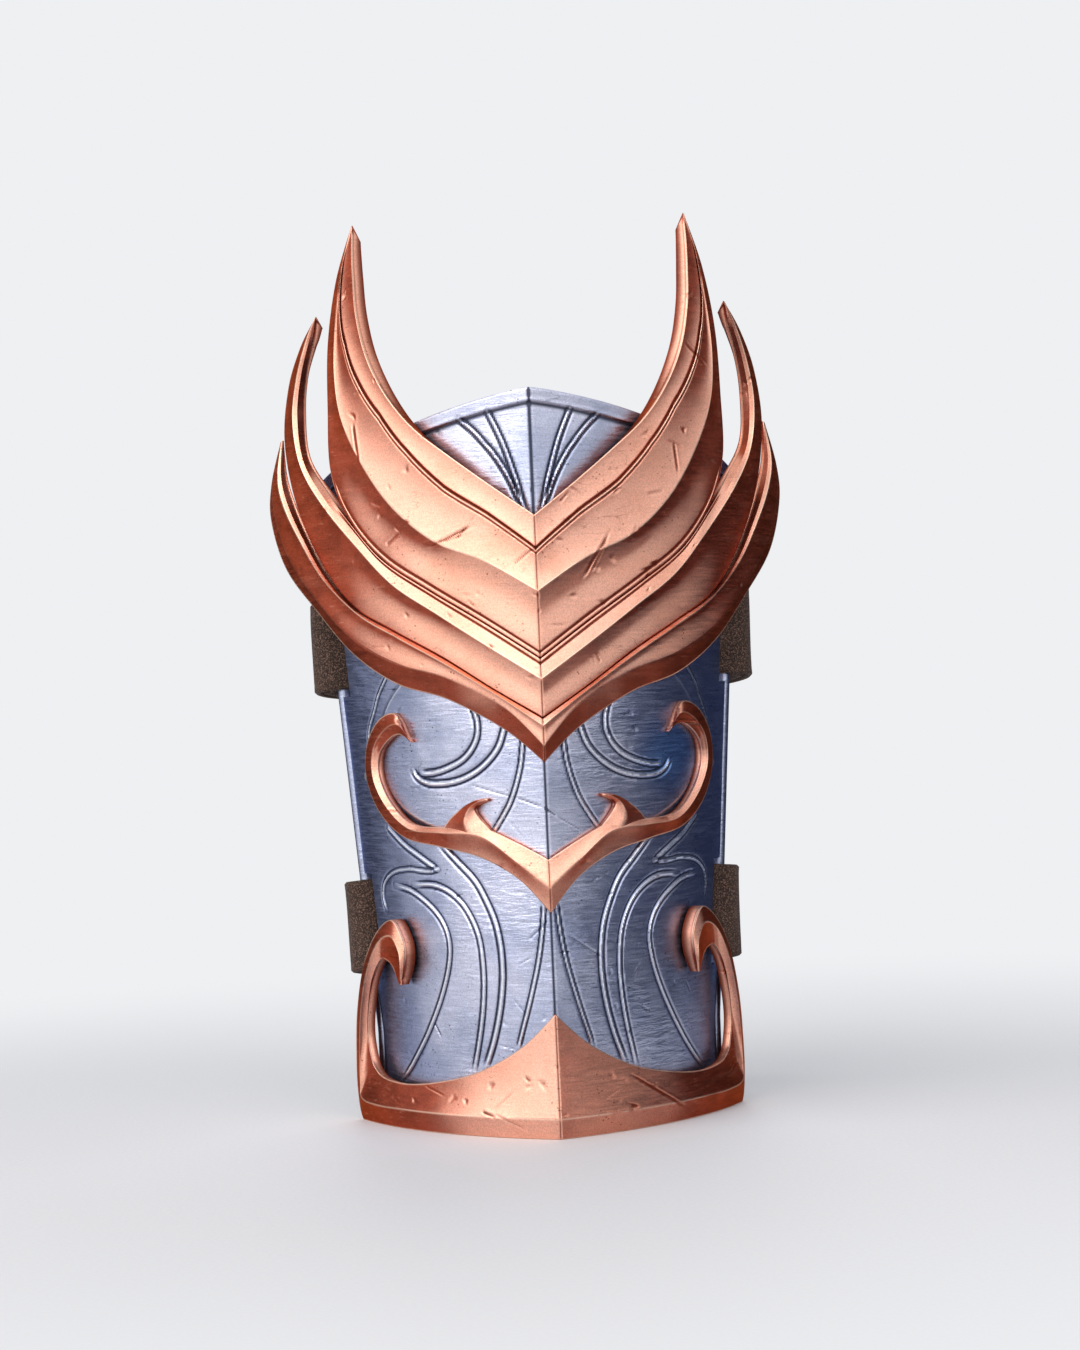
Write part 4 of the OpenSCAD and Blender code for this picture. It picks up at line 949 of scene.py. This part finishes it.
def strip(
    part, stations, thick, r, steps, form, wear, tucks=NO_TUCKS, lines=(), keeled=True, per=30, edge=0.45,
    cut=None,
):
    """Adds a bent strip that crosses the ridge, or one on each side of it, with walls and a back.

    per is how many rings lie between stations, edge the rounding of its edges, and cut the station
    where the tip starts to slant back, and by how much."""
    n = len(stations) - 1
    v = np.linspace(0, n, n * per + 1)
    if keeled:
        v = np.unique(np.concatenate([v, np.array([0.3, 0.7, 1.3, 2.1, 3.2]) * 0.35 / per]))
    track = through(stations, v)
    track[..., 1] = np.maximum(track[..., 1], 0)
    track[..., 2] *= thick
    s, c, seg = lanes_across(track, v, steps, lines)
    end = c[:, -1:]
    place = np.zeros(s.shape + (3,))
    for i in range(seg.shape[1]):
        t = ((s - col(c, i)) / col(seg, i))[..., None]
        share = np.clip(t, 0, 1)
        between = col(track, i) * (1 - share) + col(track, i + 1) * share
        place = np.where((t > 0) | (i == 0), between, place)
    x, z, h = np.moveaxis(place, -1, 0)
    dh, g = form(s, c, seg, v[:, None])
    rounding = np.minimum(edge, np.minimum(0.3 * h, 0.25 * end))
    # rounded edges, lighter in colour: partly rubbed bare, partly a painted highlight
    for d in (s, end - s):
        k = np.clip(1 - d / np.maximum(rounding, 1e-5), 0, 1)
        dh = dh - rounding * (1 - np.sqrt(1 - k * k))
        g = g - 0.45 * hump(d, 0.35) * smooth(end, 2, 6)
    tuck = through(tucks, v / n * (len(tucks) - 1))
    slant = cut[1] * np.clip((v - cut[0]) / (n - cut[0]), 0, 1) if cut else np.zeros(len(v))
    if keeled:
        dh = dh - 0.22 * hump(x, 0.28)
        g = g + 0.6 * hump(x, 0.3)
        side = np.repeat([-1.0, 1.0], [len(v) - 1, len(v)])[:, None]
        close_strip(part, side, r, wear, *(mirrored(a) for a in (x, z, h, dh, g, tuck, slant)))
    else:
        for side in (-1, 1):
            close_strip(part, side, r, wear, *(a[::side] for a in (x, z, h, dh, g, tuck, slant)))


def close_strip(part, side, r, wear, x, z, h, dh, g, tuck, slant):
    """Adds the rings of a strip: its worn front, two walls and a back that follows the plate."""
    worn_h, worn_g = worn(side * x, z, *wear)
    change = dh + worn_h + uneven(side * x, z, 0.04, 1.9) * smooth(x, 0, 2)
    top = h + np.maximum(change, -0.35 * h - 0.15)
    front = np.stack([side * x, lift_y(r, x, top), z], -1)

    def inner_edge(k, other, pull):
        """Edge of the back under the lane k, drawn in by pull towards the other edge."""
        run = np.stack([x[:, other] - x[:, k], z[:, other] - z[:, k]], -1)
        run /= np.maximum(np.linalg.norm(run, axis=1, keepdims=True), 1e-6)
        px, pz = x[:, k] + pull * run[:, 0], z[:, k] + pull * run[:, 1]
        a = np.arcsin((px + r * KS) / (r + h[:, k]))
        return np.maximum(0, px - (h[:, k] - FIT_GAP) * np.sin(a) * np.minimum(1, px / 8)), pz - slant

    low, high = inner_edge(0, -1, tuck[:, 0]), inner_edge(-1, 0, tuck[:, 1])
    share = np.linspace(0, 1, 7)[None]
    bx, bz = (b[:, None] + (a - b)[:, None] * share for a, b in zip(low, high))
    back = np.stack([side * bx, lift_y(r, bx, FIT_GAP), bz], -1)
    step = np.array([1 / 3, 2 / 3])[None, :, None]
    wall_high = front[:, -1:] + (back[:, :1] - front[:, -1:]) * step
    wall_low = back[:, -1:] + (front[:, :1] - back[:, -1:]) * step
    # painted shade: the walls and the back are darker, most where the back is close to the plate
    room = plate_y(np.minimum(bx, 40), np.clip(bz, 0, 200)) - back[..., 1]
    contact_shade = 0.15 + 0.5 * (1 - smooth(room, 1.5, 8))
    cavity = np.concatenate([g + worn_g, contact_shade[:, :1] * [0.4, 0.9], contact_shade, contact_shade[:, -1:] * [0.9, 0.4]], 1)
    part.add_rings(np.concatenate([front, wall_high, back, wall_low], 1), cavity)


def bosses(part, places, r, bite):
    """Round bosses between the plate and a trim, which the screws enter."""
    a = circle(28)[:, None]
    for side in (-1, 1):
        for x, z in places:
            out = plate_out(side, x, z)
            room = (plate_y(x, z) - lift_y(r, x, FIT_GAP)) * -out[1]
            if room <= 1:
                continue
            u = np.cross(out, [0, 0, 1.0])
            u /= np.linalg.norm(u)
            w = np.cross(out, u)
            foot = np.array([side * x, plate_y(x, z), z])
            levels = [(FIT_GAP, BOSS_R - 0.3), (FIT_GAP + 0.3, BOSS_R), (room + bite / 2, BOSS_R)]
            rings = [foot + out * h + radius * (np.cos(a) * u + np.sin(a) * w) for h, radius in levels]
            part.add_rings(np.array(rings))


def hollow(t):
    """Hollow that is deepest near the end t = 1."""
    return 6.75 * t * t * (1 - t) * (t > 0) * (t < 1)


def sag(t):
    """Hollow that is deepest in the middle."""
    return 4 * t * (1 - t) * (t > 0) * (t < 1)


def inner_face(t, drop):
    """Change from a straight slope to one that keeps high up to a knee and then falls."""
    first = 0.2
    target = np.where(t < KNEE, first * t / KNEE, first + (1 - first) * (t - KNEE) / (1 - KNEE))
    return drop * (t - target) * (t > 0) * (t < 1)


# Forms give the height and groove value of a trim's front over its straight facets, at distances s from the
# lower edge, with the stations' points at c, the lengths seg between them and the place v along the strip.
# A groove value below 0 along a crease or ridge paints a highlight there.
def upper_form(s, c, seg, v):
    """Two hollow facets, a double line along the upper one and a lip along the lower edge."""
    w0, w1, c1 = col(seg, 0), col(seg, 1), col(c, 1)
    f = np.interp(v, np.arange(len(UPPER_LINE)), UPPER_LINE)
    t1 = (s - c1) / w1
    h = -0.75 * np.minimum(1, w0 / 13) * hollow(s / w0)
    h = h - np.minimum(1, w1 / 18) * (0.45 * sag(t1 / f) + 0.3 * sag((t1 - f) / (1 - f)))
    d = s - c1 - f * w1
    fade = smooth(w1, 3, 8) * (0.35 + 0.65 * smooth(9.0 - v, 0, 2.0))
    second = (0.35 + 0.65 * smooth(5.5 - v, 0, 3)) * hump(d + 0.7, 0.22)
    h = h + fade * (0.24 * hump(d, 0.36) - 0.5 * hump(d - 0.8, 0.34) - 0.24 * second)
    g = fade * (0.95 * hump(d - 0.8, 0.33) + 0.5 * second - 0.5 * hump(d, 0.34))
    lip = smooth(4.9 - v, 0, 0.8)
    h = h - lip * 0.42 * hump(s - 1.5, 0.34)
    g = g + lip * (0.75 * hump(s - 1.5, 0.34) + 0.75 * hump(s, 0.3))
    return h, g - 0.35 * hump(s - c1, 0.4)


def middle_form(s, c, seg, v):
    """A hollow lower facet, a lip along the upper edge and horns that are hollow inside."""
    w0, c1, down = col(seg, 0), col(c, 1), c[:, -1:] - s
    drop = np.interp(v, [0, 4.3, 5, 6, 9, 10], [0, 0, 3.2, 4.0, 2.4, 0.2])
    lip = 1 - smooth(v, 4.0, 4.8)
    h = -0.62 * np.minimum(1, w0 / 10) * hollow(s / w0) - lip * 0.4 * hump(down - 1.4, 0.34)
    h = h + smooth(v, 4.3, 5.2) * inner_face((s - c1) / col(seg, 1), drop)
    g = lip * (0.7 * hump(down - 1.4, 0.34) + 0.7 * hump(down, 0.3) + 0.6 * hump(s, 0.25))
    return h, g - 0.4 * hump(s - c1, 0.4)


def lower_form(s, c, seg, v):
    """A hollow middle facet and horns that are hollow inside."""
    w1, c1, c2 = col(seg, 1), col(c, 1), col(c, 2)
    drop = np.interp(v, [0, 4.3, 5, 6, 8, 9], [0, 0, 2.2, 3.4, 2.2, 0.2])
    h = -0.3 * np.minimum(1, w1 / 6) * hollow((s - c1) / w1)
    h = h + smooth(v, 4.2, 5.0) * inner_face((s - c2) / col(seg, 2), drop)
    at_seam = 0.6 * (1 - smooth(v, 4.0, 4.8)) * hump(c[:, -1:] - s, 0.28)
    return h, at_seam - 0.4 * hump(s - c2, 0.4) - 0.15 * hump(s - c1, 0.4)


def scroll_form(s, c, seg, v):
    """Slightly hollow facets on both sides of a ridge."""
    w0, w1, d = col(seg, 0), col(seg, 1), s - col(c, 1)
    h = -0.16 * (np.minimum(1, w0 / 4) * sag(s / w0) + np.minimum(1, w1 / 4) * sag(d / w1))
    return h - 0.1 * hump(d, 0.42), -0.22 * hump(d, 0.35)


def cuff_form(s, c, seg, v):
    """A hollow facet above the bevel."""
    w1, d = col(seg, 1), s - col(c, 1)
    return -0.35 * np.minimum(1, w1 / 14) * sag(d / w1), -0.3 * hump(d, 0.4)


def copper_piece(part, name, node):
    part.build(name, "arm_plate", COPPER, "copper", node)


def feather_upper():
    part = Part()
    wear = marks(23, (-50, 50, 130, 235), 60, 10, *UPPER_MARKS)
    lines = [(1, UPPER_LINE, GROOVE), (0, [0] * len(UPPER), LIP)]
    strip(
        part, UPPER, CREST_T, CREST_R, (38, 54), upper_form, wear, UPPER_TUCKS, lines, per=34, cut=(7.5, 4.5)
    )
    bosses(part, [(14, 158), (44, 176)], CREST_R, CREST_BITE)
    copper_piece(part, "feather_upper", "crest_upper")


def feather_middle():
    part = Part()
    wear = marks(29, (-66, 66, 114, 220), 44, 6, *MIDDLE_MARKS)
    lines = [(1, [1] * len(MIDDLE), [-k for k in LIP]), (1, [KNEE] * len(MIDDLE), KNEE_LANES)]
    strip(part, MIDDLE, CREST_T, CREST_R, (26, 20), middle_form, wear, lines=lines, cut=(8.8, 3.2))
    bosses(part, [(14, 130), (44, 151.5)], CREST_R, CREST_BITE)
    copper_piece(part, "feather_middle", "crest_middle")


def feather_lower():
    part = Part()
    wear = marks(31, (-74, 74, 102, 190), 40, 6)
    lines = [(2, [KNEE] * len(LOWER), KNEE_LANES)]
    strip(part, LOWER, CREST_T, CREST_R, (14, 14, 16), lower_form, wear, LOWER_TUCKS, lines)
    bosses(part, [(10, 116.5), (44, 136.5)], CREST_R, CREST_BITE)
    copper_piece(part, "feather_lower", "crest_lower")


def scroll():
    part = Part()
    wear = marks(37, (-49, 49, 62, 115), 34, 8)
    tucks = [[0.4, 0.4], [0, 0]]
    strip(part, SCROLL, SCROLL_T, SCROLL_R, (12, 12), scroll_form, wear, tucks, per=24, edge=0.35)
    strip(part, THORN, SCROLL_T, SCROLL_R, (7, 7), scroll_form, wear, keeled=False, per=14, edge=0.35)
    copper_piece(part, "scroll_band", "scroll_trim")


def cuff():
    part = Part()
    wear = marks(41, (-52, 52, 2, 50), 26, 8, *CUFF_MARKS)
    strip(part, CUFF, CUFF_T, CUFF_R, (14, 42), cuff_form, wear, [[0, 0.6], [0, 0]])
    bosses(part, [(12, 10), (44, 6.5)], CUFF_R, CUFF_BITE)
    copper_piece(part, "cuff_hooks", "cuff_band")


# Straps
def turn_x(a):
    return np.array([[1, 0, 0], [0, math.cos(a), -math.sin(a)], [0, math.sin(a), math.cos(a)]])


def turn_y(a):
    return np.array([[math.cos(a), 0, math.sin(a)], [0, 1, 0], [-math.sin(a), 0, math.cos(a)]])


LEAN_X, LEAN_Y, LEAN_Z = rim_at(PLATE_H) - rim_at(FLARE_Z)
RIM_TURN = turn_y(math.atan(LEAN_X / np.hypot(LEAN_Y, LEAN_Z))) @ turn_x(-math.atan(LEAN_Y / LEAN_Z))
STRAP_TURN = turn_x(-DROOP)


def strap_knots(bulge, reach, tip):
    """Knots of a strap's middle line: the end that is folded back, the loop round the rim and the run."""
    run_x = -16
    line = np.array([
        (-0.6, -LOOP_MID + 0.35), (bulge * 0.42, -LOOP_MID + 0.6), (bulge * 0.83, 0.3), (bulge, 4.6),
        (bulge * 0.88, reach * 0.42), (bulge * 0.4, reach * 0.68), (-3, reach * 0.89),
        (-8, reach * 0.985), (-12.5, reach), (run_x, reach),
    ])
    s = np.linspace(6, 3.1, 5)
    d = through(line, s + 0.01) - through(line, s - 0.01)
    d /= np.linalg.norm(d, axis=1, keepdims=True)
    fold = through(line, s) + STRAP_T * 0.99 * np.stack([-d[:, 1], d[:, 0]], -1)
    ring = LOOP_MID * np.array([(0.42, 0.92), (-0.35, 0.94), (-0.87, 0.5), (-0.99, -0.15), (-0.68, -0.74)])
    run = np.array([(run_x + (tip - run_x) * k, reach) for k in np.linspace(0.05, 1, 20)])
    return np.vstack([fold, ring, line, run]), len(fold)


def strap_section():
    """Ring across a strap: places across as a share of its half width, heights and groove values."""
    soft, stitch_in = 0.55, 2.1
    w = np.concatenate([[-1.0], np.linspace(-0.955, 0.955, 27), [1.0]])
    on_edge = abs(w) > 0.99
    t = STRAP_T / 2 - soft * on_edge
    groove = np.where(on_edge, 0.35, 0.9 * hump((1 - abs(w)) * STRAP_W / 2 - stitch_in, 0.32))
    return np.append(w, w[::-1]), np.append(t, -t[::-1]), np.append(groove, 0.3 * groove[::-1])


def strap(name, node, side, z, bulge, reach, tip, seed):
    """Leather strip that loops round the rolled rim, is riveted to itself and runs on behind the plate."""
    knots, folded = strap_knots(bulge, reach, tip)
    start = run_length(knots)[folded - 1]
    fine = through(knots, np.linspace(0, len(knots) - 1, 1200))
    along = run_length(fine)
    total = along[-1]

    def spot(s):
        return np.stack([np.interp(np.clip(s, 0, total), along, fine[:, k]) for k in (0, 1)], -1)

    near_tip = [2.6, 2.2, 1.8, 1.4, 1.0, 0.7, 0.45, 0.25, 0.1, 0.02]
    stops = np.concatenate([np.arange(0, total - 3, 0.55), total - np.array(near_tip)])
    way = spot(stops + 0.05) - spot(stops - 0.05)
    way /= np.linalg.norm(way, axis=1, keepdims=True)
    centre, out = spot(stops)[:, None], np.stack([way[:, 1], -way[:, 0]], -1)[:, None]

    tip_room = STRAP_W / 2 + 0.6
    left = np.clip(total - stops, 0, tip_room)
    width = np.minimum(STRAP_W / 2, np.sqrt(np.maximum(tip_room**2 - (tip_room - left) ** 2, 0.04)))
    width = np.where(stops < 1.2, STRAP_W / 2 - 0.5 + 0.42 * stops, width)[:, None]

    # the loop follows the rim's lean and the run the strap's own plane
    free = (smooth(stops, start + 14, start + 34) + 1 - smooth(stops, 0, start + 1.5))[:, None, None]
    turn = RIM_TURN * (1 - free) + STRAP_TURN * free
    turn /= np.linalg.norm(turn, axis=1, keepdims=True)

    w, t, groove = strap_section()
    phase = np.random.default_rng(seed).uniform(0, 6, 2)
    loose = (smooth(stops, start + 16, start + 24) * smooth(total - stops, 6, 16))[:, None]
    s = stops[:, None]
    wave = loose * (0.22 * np.sin(s / 9.0 + 2.0 * w + phase[0]) + 0.12 * np.sin(s / 4.3 - 3 * w + phase[1]))
    off = t + wave * (0.35 + 0.65 * w * w) - 0.16 * groove * (t > 0)
    local = np.concatenate([centre + out * off[..., None], (w * width)[..., None]], -1)
    rings = (np.einsum("kij,kmj->kmi", turn, local) + rim_at(z)) * [side, 1, 1]
    part = Part()
    part.add_rings(rings, np.tile(groove, len(stops)), flip=side > 0)
    part.build(name, node, LEATHER, "strap_leather", node, sharp=50)


def straps():
    for label, z, bulge, seed in (("upper", UPPER_Z, UPPER_BULGE, 5), ("lower", LOWER_Z, LOWER_BULGE, 9)):
        rim_x = rim_at(z)[0]
        strap_tip, tab_tip = -rim_x - SNAP_X - TIP_PAST_SNAP, SNAP_X - rim_x - TIP_PAST_SNAP
        strap(f"{label}_strap_leather", f"{label}_strap", 1, z, bulge, STRAP_REACH, strap_tip, seed)
        strap(f"{label}_tab_leather", f"{label}_tab", -1, z, bulge, TAB_REACH, tab_tip, seed + 2)


def small_pieces():
    """Materials of the small pieces, which keep their CAD shape."""
    kinds = [(ZINC, ("washers", "screws")), (RIVET, ("rivets", "cap")), (BRASS, ("socket", "stud", "post"))]
    for name, obj in frame["nodes"].items():
        for material, ends in kinds:
            if name.endswith(ends):
                obj.data.materials.clear()
                obj.data.materials.append(material)


# Studio
PALE = (0.86, 0.87, 0.89)
AIM = (0, -0.02, 0.12)


def world():
    made = bpy.data.worlds.new("studio")
    bpy.context.scene.world = made
    s = Shade(made, "ShaderNodeBackground", "ShaderNodeOutputWorld")
    s.put(s.shader.inputs["Color"], (0.86, 0.90, 1.0))
    s.put(s.shader.inputs["Strength"], 0.38)
    s.blend(s.seen(), "ShaderNodeBackground", PALE)


def floor():
    """Pale disc that fades into the background."""
    mesh = bpy.data.meshes.new("floor")
    radius, corners = 9, 96
    verts = [(radius * math.cos(a), radius * math.sin(a), 0) for a in circle(corners)]
    mesh.from_pydata(verts, [], [list(range(corners))])
    s = new_material("floor")
    speck = s.span(s.noise(s.place, 900.0, 3.0), 0.3, 0.7)
    s.set(color=s.mix(speck, (0.70, 0.70, 0.71), (0.73, 0.73, 0.74)), rough=0.6, specular=0.15)
    far = s.node("ShaderNodeVectorMath", s.place, operation="LENGTH").outputs["Value"]
    s.blend(s.times(s.seen(), s.span(far, 0.09, 0.50)), "ShaderNodeEmission", PALE)
    mesh.materials.append(s.owner)
    linked("floor", mesh)


def lamp(name, place, aim, size, power, color=(1, 1, 1)):
    data = bpy.data.lights.new(name, "AREA")
    data.shape = "RECTANGLE"
    data.size, data.size_y = size
    data.energy = power
    data.color = color
    obj = linked(name, data)
    obj.location = place
    obj.rotation_euler = (Vector(aim) - Vector(place)).to_track_quat("-Z", "Y").to_euler()
    obj.visible_camera = False


def card(name, side, tops):
    """Dark card that stands beside the object, which only its gloss shows, as in a photographer's studio."""
    mesh = bpy.data.meshes.new(name)
    verts = [(side * x, y, z) for x, y, top in tops for z in (0.0, top)]
    mesh.from_pydata(verts, [], [(2 * k, 2 * k + 2, 2 * k + 3, 2 * k + 1) for k in range(len(tops) - 1)])
    s = new_material(name)
    s.set(color=(0.050, 0.065, 0.115), rough=0.9, specular=0.1)
    mesh.materials.append(s.owner)
    obj = linked(name, mesh)
    obj.visible_camera = False
    obj.visible_diffuse = False
    obj.visible_shadow = False


def studio():
    world()
    floor()
    lamp("key", (-1.25, -0.98, 1.00), AIM, (2.2, 1.7), 22.5, (1.0, 0.98, 0.95))
    lamp("fill", (0.80, -1.30, 0.95), AIM, (1.1, 1.1), 7, (1.0, 0.98, 0.96))
    lamp("top", (-0.35, -0.90, 1.5), (0, 0, 0.15), (1.4, 0.8), 7)
    lamp("back", (0.3, 1.4, 0.9), AIM, (1.2, 0.6), 8)
    card("card_left", -1, [(0.21, 0.08, 0.10), (0.22, 0.22, 0.26), (0.24, 0.42, 0.45), (0.15, 0.9, 0.8)])
    card(
        "card_right", 1,
        [(0.21, -0.19, 0.06), (0.21, -0.04, 0.15), (0.21, 0.10, 0.42), (0.24, 0.38, 0.75), (0.12, 0.9, 0.9)],
    )


def camera():
    """The photograph's view, found from the object's proportions in it."""
    yaw, roll, distance = math.radians(1.7), math.radians(2.45), 0.9
    photo_px, focal_px, sensor = 1350, 3237, 24
    forward = Vector((math.sin(yaw), math.cos(yaw), 0))
    level, upright = Vector((math.cos(yaw), -math.sin(yaw), 0)), Vector((0, 0, 1))
    right = math.cos(roll) * level - math.sin(roll) * upright
    up = math.sin(roll) * level + math.cos(roll) * upright
    at = Vector((0.00075, (30 - MID_Y) / 1000, 0.1245)) - distance * forward
    data = bpy.data.cameras.new("camera")
    data.sensor_fit = "VERTICAL"
    data.sensor_height = sensor
    data.lens = sensor * focal_px / photo_px
    data.clip_start, data.clip_end = 0.05, 50
    obj = linked("camera", data)
    rows = [(right[k], up[k], -forward[k], at[k]) for k in range(3)]
    obj.matrix_world = Matrix((*rows, (0, 0, 0, 1)))
    bpy.context.scene.camera = obj


plate()
feather_upper()
feather_middle()
feather_lower()
scroll()
cuff()
straps()
small_pieces()
studio()
camera()
bpy.context.scene.view_settings.view_transform = "Standard"
